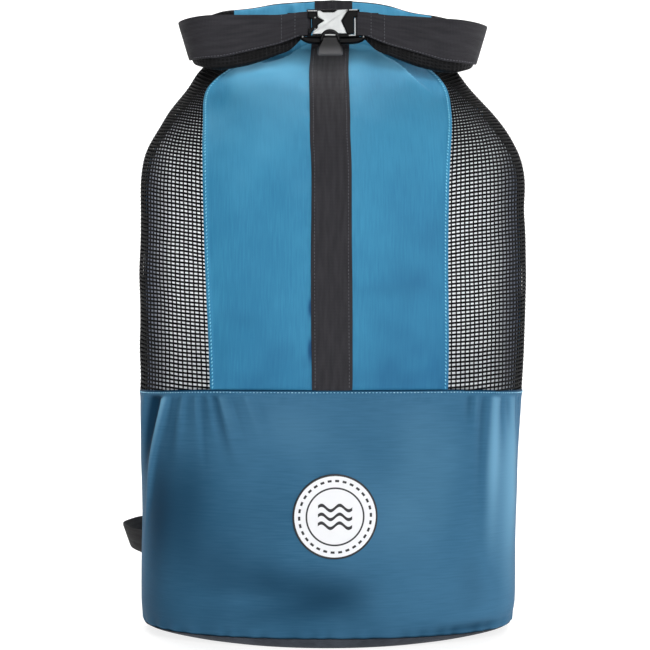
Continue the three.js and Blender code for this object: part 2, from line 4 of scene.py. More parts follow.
import bpy
import numpy as np
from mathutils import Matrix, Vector


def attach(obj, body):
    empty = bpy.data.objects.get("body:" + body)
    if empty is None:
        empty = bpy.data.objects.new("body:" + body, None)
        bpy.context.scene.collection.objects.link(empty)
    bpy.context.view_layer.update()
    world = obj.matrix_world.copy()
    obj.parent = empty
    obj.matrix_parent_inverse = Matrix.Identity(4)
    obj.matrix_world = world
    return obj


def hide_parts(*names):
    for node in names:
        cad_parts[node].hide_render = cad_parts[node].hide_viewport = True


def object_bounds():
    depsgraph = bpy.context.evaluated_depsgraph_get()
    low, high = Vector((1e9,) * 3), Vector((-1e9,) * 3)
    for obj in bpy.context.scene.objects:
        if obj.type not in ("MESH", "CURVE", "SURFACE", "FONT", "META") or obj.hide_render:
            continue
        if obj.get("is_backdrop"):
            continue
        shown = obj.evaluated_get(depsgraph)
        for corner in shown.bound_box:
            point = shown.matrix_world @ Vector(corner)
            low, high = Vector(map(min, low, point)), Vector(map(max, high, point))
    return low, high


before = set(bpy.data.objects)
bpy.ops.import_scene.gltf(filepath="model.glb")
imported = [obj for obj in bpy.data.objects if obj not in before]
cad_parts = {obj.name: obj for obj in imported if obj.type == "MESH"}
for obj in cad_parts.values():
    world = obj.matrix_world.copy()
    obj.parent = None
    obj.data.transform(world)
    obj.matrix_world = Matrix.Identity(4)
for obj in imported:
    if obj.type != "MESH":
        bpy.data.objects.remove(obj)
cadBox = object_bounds()
mm = 0.001  # all shapes are worked out in millimetres


# Shader maths

def tone(red, green, blue):  # screen colour from 0 to 255, made linear
    part = np.array([red, green, blue]) / 255
    linear = np.where(part <= 0.04045, part / 12.92, ((part + 0.055) / 1.055) ** 2.4)
    return (*linear.tolist(), 1.0)


class Wire:  # one socket of a shader tree, so that maths on it reads as a plain expression
    def __init__(self, tree, socket=None):
        self.tree = tree
        self.socket = socket

    def node(self, kind, settings=None, sockets=None, out=0):
        made = self.tree.nodes.new(kind)
        for name, value in (settings or {}).items():
            if name == "stops":  # a ramp's places and colours
                for spot, (place, colour) in enumerate(value):
                    ramp = made.color_ramp.elements
                    stop = ramp[spot] if spot < 2 else ramp.new(place)
                    stop.position = place
                    stop.color = colour
            else:
                setattr(made, name, value)
        for name, value in (sockets or {}).items():
            if isinstance(value, Wire):
                self.tree.links.new(value.socket, made.inputs[name])
            else:
                made.inputs[name].default_value = value
        return Wire(self.tree, made.outputs[out])

    def maths(self, operation, *values):
        return self.node("ShaderNodeMath", {"operation": operation}, dict(enumerate(values)))

    def __add__(self, other):
        return self.maths("ADD", self, other)

    def __sub__(self, other):
        return self.maths("SUBTRACT", self, other)

    def __rsub__(self, other):
        return self.maths("SUBTRACT", other, self)

    def __mul__(self, other):
        return self.maths("MULTIPLY", self, other)

    def __truediv__(self, other):
        return self.maths("DIVIDE", self, other)

    def __pow__(self, other):
        return self.maths("POWER", self, other)

    __radd__ = __add__
    __rmul__ = __mul__

    def sine(self):
        return self.maths("SINE", self)

    def between(self, low, high):  # 0 below low, 1 above high, smooth between
        ends = {"Value": self, "From Min": low, "From Max": high}
        return self.node("ShaderNodeMapRange", {"interpolation_type": "SMOOTHSTEP"}, ends)

    def mix(self, first, second):  # this value blends two colours
        return self.node("ShaderNodeMix", {"data_type": "RGBA"}, {0: self, 6: first, 7: second}, out=2)


def clothSpot(wire):  # a piece's own map, in metres
    return wire.node("ShaderNodeUVMap", {"uv_map": "cloth"})


def objectSpot(wire):
    return wire.node("ShaderNodeTexCoord", {}, {}, out=3)


def splitSpot(spot, *axes):
    return [spot.node("ShaderNodeSeparateXYZ", {}, {0: spot}, out=axis) for axis in axes]


def surfacePlace(wire):  # the two coordinates of a piece's own map
    return splitSpot(clothSpot(wire), 0, 1)


def noise(wire, spot, scale, detail=2.0):
    return wire.node("ShaderNodeTexNoise", {}, {"Vector": spot, "Scale": scale, "Detail": detail})


def cloudNoise(wire, spot, scale, detail=2.0, stretch=(1, 1, 1)):
    return noise(wire, wire.node("ShaderNodeMapping", {}, {"Vector": spot, "Scale": stretch}), scale, detail)


def bumped(wire, height, distance, strength=1.0):
    return wire.node("ShaderNodeBump", {}, {"Height": height, "Distance": distance, "Strength": strength})


def newMaterial(name, finish, fixed):  # finish(wire) gives what varies, fixed what is the same all over
    material = bpy.data.materials.new(name)
    material.use_nodes = True
    tree = material.node_tree
    shader = tree.nodes["Principled BSDF"]
    for key, value in fixed.items():
        shader.inputs[key].default_value = value
    for key, wire in finish(Wire(tree)).items():
        tree.links.new(wire.socket, shader.inputs[key])
    return material


def clothFinish(look):
    # plain weave: the product of two sine waves across warp and weft, over soft clouds of tone
    def finish(wire):
        across, up = surfacePlace(wire)
        spot = clothSpot(wire)
        turn = 2 * math.pi / look["thread"]
        weave = (across * turn).sine() * (up * turn).sine()
        cloud = cloudNoise(wire, objectSpot(wire), look["cloud"], 3.0)
        streak = cloudNoise(wire, spot, look["streak"], 2.0, look["streakWay"])
        shade = (cloud * 0.6 + streak * 0.4).between(0.3, 0.7)
        colour = shade.mix(look["dark"], look["light"])
        fleck = (weave * 0.5 + 0.5) * look["fleck"]
        colour = fleck.mix(colour, look["thin"])
        if "deep" in look:  # painted shade in the hollows and painted highlight on the ridges, from the fold attribute
            fold = wire.node("ShaderNodeAttribute", {"attribute_name": "fold"}, {}, out=2)
            colour = fold.between(0, 1).mix(colour, look["paintedHighlight"])
            colour = (0 - fold).between(0, 1).mix(colour, look["deep"])
        height = weave * 0.5 + streak * look["slub"]
        return {
            "Base Color": colour,
            "Roughness": look["rough"] + (shade - 0.5) * look["roughSpread"],
            "Normal": bumped(wire, height, look["relief"], look["reliefShare"]),
        }
    return finish


def webbingFinish(look):
    # ribs run along the webbing and short picks cross them, each shifted by half a rib
    def finish(wire):
        across, along = surfacePlace(wire)
        spot = clothSpot(wire)
        rib = (across * (2 * math.pi / look["rib"])).sine()
        pick = (along * (2 * math.pi / look["pick"]) + rib * 1.6).sine()
        grain = cloudNoise(wire, spot, look["grain"], 3.0, look["grainWay"])
        shade = (grain * 0.7 + (rib * pick) * 0.12 + 0.15).between(0.2, 0.8)
        return {
            "Base Color": shade.mix(look["dark"], look["light"]),
            "Roughness": 0.82 - shade * 0.18,
            "Normal": bumped(wire, rib * 0.5 + rib * pick * 0.5, look["relief"], 0.7),
        }
    return finish


def mouldedFinish(look):
    # fine moulded grain and faint wear from Object coordinates
    def finish(wire):
        spot = objectSpot(wire)
        grain, wear = noise(wire, spot, look["grain"], 3.0), noise(wire, spot, look["wear"], 4.0)
        shade = wear.between(0.35, 0.7)
        face = shade.mix(look["dark"], look["light"])
        if "foot" in look:  # painted highlight: paler towards its foot, between two heights
            face = splitSpot(spot, 2)[0].between(*look["foot"]).mix(look["footHighlight"], face)
        return {
            "Base Color": face,
            "Roughness": look["rough"] + (wear - 0.5) * look["roughSpread"],
            "Normal": bumped(wire, grain, look["relief"], 0.6),
        }
    return finish


panelCloth = newMaterial("panelCloth", clothFinish({
    "thread": 0.00055, "cloud": 11, "streak": 150, "streakWay": (4, 0.25, 1),
    "dark": tone(43, 120, 159), "light": tone(61, 141, 178), "thin": tone(36, 105, 144), "fleck": 0.35,
    # deep is the painted shade colour and the next one the painted highlight colour, mixed in by the fold attribute
    "deep": tone(18, 76, 120), "paintedHighlight": tone(92, 168, 204),
    "slub": 0.5, "rough": 0.6, "roughSpread": 0.1, "relief": 0.00012, "reliefShare": 0.6,
}), {"Specular IOR Level": 0.2})

# the panel's cloth painted lighter for the arch: painted light where the roll's face gets less light than the panel
litArchCloth = newMaterial("litArchCloth", clothFinish({
    "thread": 0.00055, "cloud": 30, "streak": 90, "streakWay": (3, 0.5, 1),
    "dark": tone(70, 150, 190), "light": tone(88, 170, 208), "thin": tone(56, 130, 172), "fleck": 0.35,
    "slub": 0.5, "rough": 0.6, "roughSpread": 0.1, "relief": 0.00012, "reliefShare": 0.6,
}), {"Specular IOR Level": 0.2})

coatedCloth = newMaterial("coatedCloth", clothFinish({
    "thread": 0.0006, "cloud": 9, "streak": 150, "streakWay": (0.25, 4, 1),
    "dark": tone(48, 93, 123), "light": tone(63, 108, 139), "thin": tone(41, 84, 112), "fleck": 0.25,
    # deep is the painted shade colour and the next one the painted highlight colour, mixed in by the fold attribute
    "deep": tone(14, 50, 74), "paintedHighlight": tone(106, 155, 184),
    "slub": 0.4, "rough": 0.55, "roughSpread": 0.12, "relief": 0.00008, "reliefShare": 0.5,
}), {"Specular IOR Level": 0.04})

baseCloth = newMaterial("baseCloth", clothFinish({
    "thread": 0.0014, "cloud": 30, "streak": 200, "streakWay": (1, 1, 1),
    "dark": tone(40, 46, 55), "light": tone(68, 73, 83), "thin": tone(30, 33, 40), "fleck": 0.5,
    "slub": 0.8, "rough": 0.75, "roughSpread": 0.1, "relief": 0.0004, "reliefShare": 0.8,
}), {"Specular IOR Level": 0.3})

padCloth = newMaterial("padCloth", clothFinish({
    "thread": 0.0012, "cloud": 20, "streak": 120, "streakWay": (1, 1, 1),
    "dark": tone(34, 36, 41), "light": tone(48, 50, 56), "thin": tone(20, 21, 25), "fleck": 0.45,
    "slub": 0.5, "rough": 0.8, "roughSpread": 0.1, "relief": 0.0003, "reliefShare": 0.7,
}), {"Sheen Weight": 0.1})


def liningFinish(wire):
    # pale coating on the inside, with painted shade in a soft dark border at the sides and under the mouth
    spot = objectSpot(wire)
    side, up = splitSpot(spot, 0, 2)
    aside = (side - 0.005).maths("ABSOLUTE", side - 0.005)
    shadeBorder = aside.between(0.168, 0.2)
    shadeBorder = shadeBorder.maths("MAXIMUM", shadeBorder, (up + (aside - 0.131) * 0.96).between(0.53, 0.585))
    cloud = noise(wire, spot, 18.0, 3.0)
    pale = cloud.mix(tone(232, 235, 238), tone(250, 251, 252))
    return {
        "Base Color": shadeBorder.mix(pale, tone(56, 68, 92)),
        "Roughness": 0.55 + cloud * 0.15,
        "Normal": bumped(wire, cloud, 0.0004, 0.4),
    }


paleLining = newMaterial("paleLining", liningFinish, {})

webbingWeave = {"rib": 0.0013, "pick": 0.0014, "grain": 260, "grainWay": (1, 0.12, 1), "relief": 0.0003}
greyWebbing = newMaterial("greyWebbing", webbingFinish(
    {**webbingWeave, "dark": tone(31, 30, 34), "light": tone(46, 45, 50)}), {"Specular IOR Level": 0.3})
blackWebbing = newMaterial("blackWebbing", webbingFinish(
    {**webbingWeave, "dark": tone(22, 21, 22), "light": tone(38, 37, 38)}), {"Specular IOR Level": 0.35})

netBlack = newMaterial("netBlack", mouldedFinish({
    "grain": 900, "wear": 60, "dark": tone(6, 6, 7), "light": tone(14, 14, 16),
    "rough": 0.6, "roughSpread": 0.2, "relief": 0.0001,
}), {"Specular IOR Level": 0.08})

blackPlastic = newMaterial("blackPlastic", mouldedFinish({
    "grain": 1400, "wear": 90, "dark": tone(3, 3, 4), "light": tone(7, 7, 8),
    "rough": 0.42, "roughSpread": 0.15, "relief": 0.00005,
}), {"Specular IOR Level": 0.06})

blackRubber = newMaterial("blackRubber", mouldedFinish({
    "grain": 1800, "wear": 120, "dark": tone(8, 8, 9), "light": tone(16, 16, 18),
    # a painted highlight towards the tab's foot
    "foot": (0.584, 0.596), "footHighlight": tone(80, 80, 82), "rough": 0.36, "roughSpread": 0.2, "relief": 0.00008,
}), {"Specular IOR Level": 0.14})

paleMetal = newMaterial("paleMetal", mouldedFinish({
    "grain": 2200, "wear": 70, "dark": tone(140, 142, 142), "light": tone(166, 168, 167),
    "rough": 0.36, "roughSpread": 0.15, "relief": 0.00003,
}), {"Metallic": 0.5})


def patchFinish(wire):
    # pale moulded face with a thin ring, an outer ring of plain dashes and three plain waves, from its own map
    across, up = surfacePlace(wire)
    spot = clothSpot(wire)
    edge = 0.00018
    radius = (across * across + up * up) ** 0.5
    around = across.maths("ARCTAN2", up, across)
    line = lambda value, half: 1 - value.maths("ABSOLUTE", value).between(half - edge, half + edge)
    ring = line(radius - 0.0275, 0.0008)
    dashes = line(radius - 0.0345, 0.0011) * (around * 30).sine().between(-0.25, 0.05)
    motif = None
    for level in (-0.0085, 0.0, 0.0085):
        wave = line(up - level - (across * (2 * math.pi / 0.0175)).sine() * 0.0026, 0.0016)
        motif = wave if motif is None else motif.maths("MAXIMUM", motif, wave)
    motif = motif * line(across, 0.0165)
    ink = ring.maths("MAXIMUM", ring.maths("MAXIMUM", ring, dashes), motif)
    grain = cloudNoise(wire, spot, 700, 2.0)
    pale = cloudNoise(wire, spot, 40, 3.0).mix(tone(226, 227, 231), tone(235, 236, 238))
    return {
        "Base Color": ink.mix(pale, tone(30, 31, 35)),
        "Roughness": 0.55 + grain * 0.1 - ink * 0.08,
        "Normal": bumped(wire, grain * 0.15 + ink, 0.00025, 0.7),
    }


patchFace = newMaterial("patchFace", patchFinish, {})

patchInk = newMaterial("patchInk", mouldedFinish({
    "grain": 1500, "wear": 60, "dark": tone(26, 27, 30), "light": tone(40, 41, 45),
    "rough": 0.55, "roughSpread": 0.1, "relief": 0.00006,
}), {})


def threadMaterial(name, dark, light, rough=0.6):
    look = {"grain": 3000, "wear": 300, "roughSpread": 0.1, "relief": 0.0001}
    return newMaterial(name, mouldedFinish({**look, "dark": dark, "light": light, "rough": rough}), {})


paleThread = threadMaterial("paleThread", tone(120, 182, 214), tone(176, 222, 240))
blueThread = threadMaterial("blueThread", tone(96, 186, 220), tone(150, 220, 240))
greyThread = threadMaterial("greyThread", tone(70, 69, 76), tone(96, 95, 102), 0.65)


def netClothFinish(wire):
    # wound net: strands stand up where either of two sets of lines runs
    across, up = surfacePlace(wire)
    lines = [(place * (2 * math.pi / pitch)).sine() for place, pitch in ((across, 0.0042), (up, 0.0033))]
    strand = lines[0].maths("MAXIMUM", lines[0], lines[1])
    cloud = cloudNoise(wire, clothSpot(wire), 90, 3.0)
    shade = strand.between(0.2, 0.9) * cloud.between(0.3, 0.7)
    return {
        "Base Color": shade.mix(tone(9, 9, 10), tone(19, 19, 22)),
        "Roughness": 0.68 - shade * 0.2,
        "Normal": bumped(wire, strand + cloud, 0.0006, 0.6),
    }


woundNet = newMaterial("woundNet", netClothFinish, {"Specular IOR Level": 0.15})
print("materials made")


# Mesh makers

def gridFaces(rows, columns, wrap=False):  # quads between neighbouring points of a grid
    i, j = np.meshgrid(np.arange(rows - 1), np.arange(columns if wrap else columns - 1), indexing="ij")
    k = (j + 1) % columns
    corners = [i * columns + j, i * columns + k, (i + 1) * columns + k, (i + 1) * columns + j]
    return np.stack(corners, -1).reshape(-1, 4)


def makePiece(name, points, faces, materials, uv=None, kinds=None, fold=None, slot=None, replaces=()):
    # points in millimetres, faces as rows of indices, uv per face corner in metres, fold from -1 to 1 per point:
    # painted shade below 0, painted highlight above 0
    mesh = bpy.data.meshes.new(name)
    rows = [part.tolist() for part in faces] if isinstance(faces, list) else [faces.tolist()]
    mesh.from_pydata((np.asarray(points).reshape(-1, 3) * mm).tolist(), [], sum(rows, []))
    corners = np.zeros(len(mesh.polygons), np.int32)
    mesh.polygons.foreach_get("loop_total", corners)
    mesh.polygons.foreach_set("use_smooth", corners < 5)  # plate faces stay flat
    if kinds is not None:
        mesh.polygons.foreach_set("material_index", np.asarray(kinds, np.int32))
    if uv is not None:
        layer = mesh.uv_layers.new(name="cloth")
        layer.data.foreach_set("uv", np.asarray(uv, np.float32).ravel())
    if fold is not None:
        mesh.attributes.new("fold", "FLOAT", "POINT").data.foreach_set("value", np.asarray(fold, np.float32))
    mesh.validate()
    mesh.update()
    piece = bpy.data.objects.new(name, mesh)
    bpy.context.scene.collection.objects.link(piece)
    for material in materials:
        mesh.materials.append(material)
    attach(piece, "root")
    if replaces:
        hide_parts(*replaces)
    return piece


def shellPiece(name, outer, inner, maps, materials, wrap=False, fold=None, flip=False, **rest):
    # a closed shell between an outer and an inner grid, with walls along the open edges;
    # maps is the grid of (across, up) in millimetres, one column longer when the shell wraps;
    # flip is for grids whose columns run the other way round
    if flip:
        outer, inner, maps = outer[:, ::-1], inner[:, ::-1], maps[:, ::-1]
    rows, columns = outer.shape[:2]
    count = rows * columns
    skin = gridFaces(rows, columns, wrap)
    mapSkin = gridFaces(rows, maps.shape[1])
    flat = maps.reshape(-1, 2)
    parts = [skin, skin[:, ::-1] + count]
    coords = [flat[mapSkin], flat[mapSkin[:, ::-1]]]
    j = np.arange(columns if wrap else columns - 1)
    k = (j + 1) % columns
    top = (rows - 1) * columns
    for a, b, c, d in ((k, j, j + count, k + count), (j + top, k + top, k + top + count, j + top + count)):
        edge = np.stack([a, b, c, d], -1)
        parts.append(edge)
        row = 0 if a is k else (rows - 1) * maps.shape[1]
        ends = np.stack([j + 1, j, j, j + 1], -1) if a is k else np.stack([j, j + 1, j + 1, j], -1)
        coords.append(flat[row + ends])
    if not wrap:
        i = np.arange(rows - 1) * columns
        last = columns - 1
        for a, b in ((i, i + columns), (i + columns + last, i + last)):
            parts.append(np.stack([a, b, b + count, a + count], -1))
            coords.append(flat[np.stack([a, b, b, a], -1)])
    kinds = np.zeros(sum(len(part) for part in parts), int)
    kinds[len(skin):2 * len(skin)] = min(1, len(materials) - 1)
    points = np.concatenate([outer.reshape(-1, 3), inner.reshape(-1, 3)])
    uv = np.concatenate(coords) * mm
    both = None if fold is None else np.concatenate([fold.ravel(), 0 * fold.ravel()])
    return makePiece(name, points, np.concatenate(parts), materials, uv, kinds, both, **rest)


def runLength(line):  # distance covered along a line of points, from 0 at its start
    return np.concatenate([[0], np.cumsum(np.linalg.norm(np.diff(line, axis=0), axis=1))])


def edgeCrowded(count):  # shares from -1 to 1, closer together at both ends
    return np.sin(np.linspace(-math.pi / 2, math.pi / 2, count))


def unit(vectors):
    return vectors / np.maximum(np.linalg.norm(vectors, axis=-1, keepdims=True), 1e-9)


def ripple(across, up, seed, longest, shortest, count=14):
    # soft uneven waves: a sum of sines with seeded directions, shorter ones weaker
    pick = np.random.default_rng(seed)
    length = shortest * (longest / shortest) ** pick.random(count)
    turn = pick.random(count) * math.pi
    phase = pick.random(count) * 2 * math.pi
    total = np.zeros(np.broadcast(across, up).shape)
    for wave, way, start in zip(length, turn, phase):
        swing = (across * math.cos(way) + up * math.sin(way)) * 2 * math.pi / wave + start
        total = total + np.sin(swing) * wave / longest
    return total / math.sqrt(count)


def bell(value, middle, width):
    return np.exp(-((value - middle) / width) ** 2)


def ramp(value, low, high):  # 0 to 1, smooth at both ends
    t = np.clip((value - low) / (high - low), 0, 1)
    return t * t * (3 - 2 * t)


def readTable(rows, at):
    # cubic spans through a table's rows, whose slopes follow the neighbouring rows
    rows = np.asarray(rows, float)
    place, value = rows[:, 0], rows[:, 1:]
    last = len(place) - 1
    before = np.maximum(np.arange(last + 1) - 1, 0)
    after = np.minimum(np.arange(last + 1) + 1, last)
    slope = (value[after] - value[before]) / (place[after] - place[before])[:, None]
    at = np.asarray(at, float)
    i = np.clip(np.searchsorted(place, at, side="right") - 1, 0, last - 1)
    span = (place[i + 1] - place[i])[..., None]
    t = np.clip((at - place[i])[..., None] / span, 0, 1)
    keep = 2 * t ** 3 - 3 * t ** 2 + 1
    leave = (t ** 3 - 2 * t ** 2 + t) * span * slope[i]
    arrive = (t ** 3 - t ** 2) * span * slope[i + 1]
    smooth = keep * value[i] + (1 - keep) * value[i + 1] + leave + arrive
    return [smooth[..., column] for column in range(value.shape[1])]


# The body that all the walls lie on

body = {
    "low": 9.5, "seam": 250, "neck": 598, "lean": 5.5, "meshTuck": 22, "gap": 0.3,
    "sections": [  # height, half width, front, back, middle, squareness
        (9.5, 191.5, 121, 112, 0, 2.3), (35, 193.5, 126, 116, 0, 2.4), (130, 194.3, 130, 117, 0, 2.4),
        (250, 198.2, 128, 115, 0, 2.4), (350, 201, 124, 111, 0, 2.4), (430, 199.8, 117, 105, 0, 2.4),
        (470, 199.2, 109, 98, 0, 2.4), (497, 192.5, 99, 88, 0, 2.4), (530, 172, 79, 69, 0, 2.4),
        (560, 148, 54, 48, 0.5, 2.5), (576, 137, 36, 33, 1.5, 2.7), (587, 128.5, 21, 20, 2.7, 3.2),
        (598, 126, 7, 7, 4, 4)],
    "panelEdge": [  # height, left and right edge of the front panel along the cloth
        (250, 120.6, 115), (330, 125.4, 114), (400, 128.6, 114), (470, 131, 116), (530, 131.4, 122.6),
        (552, 128.4, 122.1), (566, 117, 115.5), (578, 102, 105.5), (598, 92, 101)],
    "leanRows": [  # height, how far the walls stand to the right
        (0, 0), (60, 0.9), (141, 2.2), (183, 2.3), (225, 2.8), (267, 4.5), (310, 5.2), (390, 5.3), (470, 5.5),
        (500, 5), (518, 4.4), (537, 2.8), (558, 1.5), (575, 0.7), (598, 0.6)],
}


def makeBodyTable():
    # superellipse sections, x = a sin^(2/n), y = middle - b cos^(2/n), re-spaced to even shares of length
    heights = np.linspace(body["low"], body["neck"], 500)
    halfWidth, front, back, middle, square = [c[:, None] for c in readTable(body["sections"], heights)]
    turn = np.linspace(0, math.pi, 721)[None]
    side = halfWidth * np.abs(np.sin(turn)) ** (2 / square)
    ahead = np.sign(np.cos(turn)) * np.abs(np.cos(turn)) ** (2 / square)
    depth = middle - ahead * np.where(ahead > 0, front, back)
    steps = np.hypot(np.diff(side), np.diff(depth))
    length = np.concatenate([np.zeros((len(heights), 1)), np.cumsum(steps, 1)], 1)
    shares = np.linspace(0, 1, 601)
    even = [np.stack([np.interp(shares * l[-1], l, s), np.interp(shares * l[-1], l, d)], -1)
            for l, s, d in zip(length, side, depth)]
    return heights, np.array(even), length[:, -1], length[:, 360]


tableHeights, tableSpots, tableTotal, tableWidest = makeBodyTable()


def halfRound(height):  # cloth length from the front middle to the back middle
    return np.interp(height, tableHeights, tableTotal)


def bodyPoint(height, along):
    # the table read between its rows and shares; along is the distance from the front middle, + to the right
    height, along = np.broadcast_arrays(np.asarray(height, float), np.asarray(along, float))
    held = np.clip(height, body["low"], body["neck"])
    total = halfRound(held)
    wrapped = along - 2 * total * np.round(along / (2 * total))
    rowsUp = (held - body["low"]) / (body["neck"] - body["low"]) * (len(tableHeights) - 1)
    share = np.abs(wrapped) / total * (tableSpots.shape[1] - 1)
    r = np.clip(rowsUp.astype(int), 0, len(tableHeights) - 2)
    s = np.clip(share.astype(int), 0, tableSpots.shape[1] - 2)
    f, g = (rowsUp - r)[..., None], (share - s)[..., None]
    low = tableSpots[r, s] * (1 - g) + tableSpots[r, s + 1] * g
    high = tableSpots[r + 1, s] * (1 - g) + tableSpots[r + 1, s + 1] * g
    spot = low * (1 - f) + high * f
    shift = readTable(body["leanRows"], held)[0]
    raised = np.maximum(held, height)  # above the neck the wall goes straight up
    return np.stack([np.where(wrapped < 0, -1, 1) * spot[..., 0] + shift, spot[..., 1], raised], -1)


def bodyNormal(height, along):
    reach = 2.5 + 10 * ramp(height, 562, 594)  # wider under the roll, where the walls turn upright
    around = bodyPoint(height, along + reach) - bodyPoint(height, along - reach)
    up = bodyPoint(height + reach, along) - bodyPoint(height - reach, along)
    return unit(np.cross(around, up))


def clothPoint(height, along, offset):  # a point that stands off the body along its normal
    return bodyPoint(height, along) + bodyNormal(height, along) * np.asarray(offset)[..., None]


def panelEdge(height, sign):  # distance from the front middle to the panel's edge on one side
    left, right = readTable(body["panelEdge"], height)
    return np.where(sign < 0, left, right)


def backEdge(height):
    return np.interp(height, tableHeights, tableWidest) + body["meshTuck"]


# Sewn stitches

def stitchRow(name, path, normals, material, look):
    # each stitch is a short six-sided bead, thick in the middle, laid along the path at an even pitch
    length = runLength(path)
    places = np.arange(look["pitch"] / 2, length[-1], look["pitch"])
    lerp = lambda source, at: np.stack([np.interp(at, length, source[:, axis]) for axis in range(3)], -1)
    middle = lerp(path, places)
    out = unit(lerp(normals, places))
    along = unit(lerp(path, places + 0.4) - lerp(path, places - 0.4))
    beside = np.cross(out, along)
    along = unit(along + beside * look.get("slant", 0))
    beside = np.cross(out, along)
    turn = np.arange(6) * math.pi / 3
    ends = np.array([-0.5, -0.38, 0, 0.38, 0.5]) * look["length"]
    thick = np.array([0.25, 0.8, 1, 0.8, 0.25]) * look["radius"]
    lift = np.array([-0.8, -0.1, 0.25, -0.1, -0.8]) * look["radius"] + look.get("proud", 0)
    ring = np.cos(turn)[None, :, None] * out[:, None, None] + np.sin(turn)[None, :, None] * beside[:, None, None]
    points = (middle[:, None, None] + along[:, None, None] * ends[None, :, None, None]
              + out[:, None, None] * lift[None, :, None, None] + ring * thick[None, :, None, None])
    bead = gridFaces(5, 6, True)
    caps = np.array([[5, 4, 3, 2], [5, 2, 1, 0], [24, 25, 26, 27], [24, 27, 28, 29]])
    one = np.concatenate([bead[:, ::-1], caps[:, ::-1]])
    faces = (one[None] + 30 * np.arange(len(places))[:, None, None]).reshape(-1, 4)
    return makePiece(name, points, faces, [material])


# Lower body: a tube of coated cloth with a turned hem, gathers below it and soft hollows

lowerBody = {
    "columns": 480, "rows": 96, "thickness": 1.4, "hemTop": 251.2, "hemFoot": 243.5, "hemProud": 0.4, "hemDip": 3,
    "stitchAt": 248.7, "crowding": 0.35, "shadeDepth": 7.5, "gatherDepth": 13,
    "gathers": [  # along, depth (less than 0 stands out), width, length, lean of the fold line
        (-172, -4.8, 4.5, 175, -0.34), (-190, 6, 10, 110, -0.36), (-218, -1.6, 6, 70, -0.1),
        (-158, 1.4, 5, 90, -0.14),
        (-151, -1.3, 4, 70, -0.08), (-143, 1.0, 4, 60, 0.02), (-136, -1.2, 4, 90, 0.1), (-128, 1.4, 4, 55, 0.12),
        (-118, 2.2, 4.5, 85, 0.3), (-106, -1.0, 6, 70, 0.34), (-94, 0.7, 6, 40, 0.3), (141, 1.8, 5, 48, -0.05),
        (150, -1.0, 5, 60, -0.05), (157, 2.2, 5, 150, -0.03), (170, -3.0, 8, 225, -0.02), (181, 0.8, 2.6, 70, 0.06),
        (190, 1.0, 2.6, 50, 0.08), (200, -1.8, 11, 190, -0.02), (206, 1.0, 3, 60, 0.08), (216, 0.8, 3, 60, 0.08),
        (-240, 1.5, 7, 90, 0),
        (-268, 3.0, 9, 120, 0.1), (-300, 2.2, 8, 90, 0.1), (254, 2.8, 9, 110, 0), (286, 3.0, 9, 120, -0.1),
        (318, 2.0, 8, 90, -0.1), (-164, 1.1, 2.6, 64, -0.2), (-147, 0.8, 2.4, 54, -0.02),
        (-132, 0.9, 2.4, 100, 0.12), (-123, -1.2, 2.6, 62, 0.2), (-112, -1.3, 2.8, 72, 0.32),
        (-100, 1.0, 3, 76, 0.36), (-86, -0.7, 3.4, 60, 0.4),
        (-76, 0.7, 3.6, 52, 0.42), (146, -0.9, 2.6, 44, -0.05), (163, 0.9, 2.6, 80, -0.03)],
    "hollows": [  # along, height, depth, spread, rise, tilt
        (-46, 66, 1.7, 46, 20, -0.08), (14, 58, 1.6, 40, 24, 0), (4, 44, 1.1, 60, 16, 0.05),
        (-36, 34, 0.9, 44, 14, 0.28), (-62, 21, -0.8, 20, 7, 0.3), (-84, 47, -1.2, 46, 9, 0.02),
        (64, 46, -1.2, 40, 16, 0), (-122, 70, 0.9, 58, 38, 0), (148, 66, 2.2, 34, 26, -0.3),
        (150, 15.5, 3.0, 52, 5, 0.03), (152, 29, -1.2, 54, 7, 0.06), (84, 206, -0.8, 50, 34, 0.1),
        (-70, 130, 1.6, 36, 52, 0.3), (-34, 212, -1.4, 48, 32, -0.5), (-140, 142, 2.2, 40, 60, 0.2),
        (-184, 110, 0.8, 22, 90, 0), (196, 120, -3, 24, 110, 0), (60, 130, -1.0, 50, 60, 0),
        (-6, 178, 1.0, 22, 22, -0.8)],
    "paintedTones": [  # along, height, paler or darker, spread, rise: broad areas of painted highlight and painted shade on the coating
        (-20, 58, -0.34, 78, 30), (-125, 74, -0.2, 60, 50), (-192, 120, -0.42, 30, 130),
        (-150, 140, -0.26, 42, 72), (100, 150, 0.14, 60, 80)],
    "waves": (4, 120, 40), "hemWaves": (9, 70, 24), "footWaves": (11, 90, 30),  # seed, longest, shortest
}


def lowerGathers(height, along):
    # a bell across each fold line, full just under the seam and fading down it
    depth = np.zeros(np.broadcast(height, along).shape)
    drop = body["seam"] - height
    for at, deep, width, length, lean in lowerBody["gathers"]:
        fade = ramp(drop, 1.5, 8) * (1 - ramp(drop, 0.25 * length, length))
        spread = width * (1 + 0.5 * np.maximum(drop, 0) / length)
        depth = depth + deep * fade * bell(along, at + lean * drop, spread)
    return depth


def lowerFold(height, along):
    # gathers, hollows that are tilted bells, and soft uneven waves
    depth = lowerGathers(height, along)
    drop = body["seam"] - height
    for at, level, deep, spread, rise, tilt in lowerBody["hollows"]:
        level = level + tilt * (along - at)
        depth = depth + deep * bell(along, at, spread) * bell(height, level, rise)
    sides = ramp(np.abs(along), 90, 150)
    calm = ramp(drop, 2, 22) * ramp(height, 12, 30) * (1 - ramp(np.abs(along), 380, 490))
    depth = depth + ripple(along, height * 0.7, *lowerBody["waves"]) * (0.45 + 0.35 * sides) * calm
    hemPucker = np.sin(along / 2.1 + 2 * ripple(along, height, *lowerBody["hemWaves"])) * bell(drop, 7.5, 4.5)
    footPucker = np.sin(along / 3.4 + 3 * ripple(along, 0 * height, *lowerBody["footWaves"])) * bell(height, 12, 7)
    return depth + 0.25 * hemPucker + 0.5 * footPucker


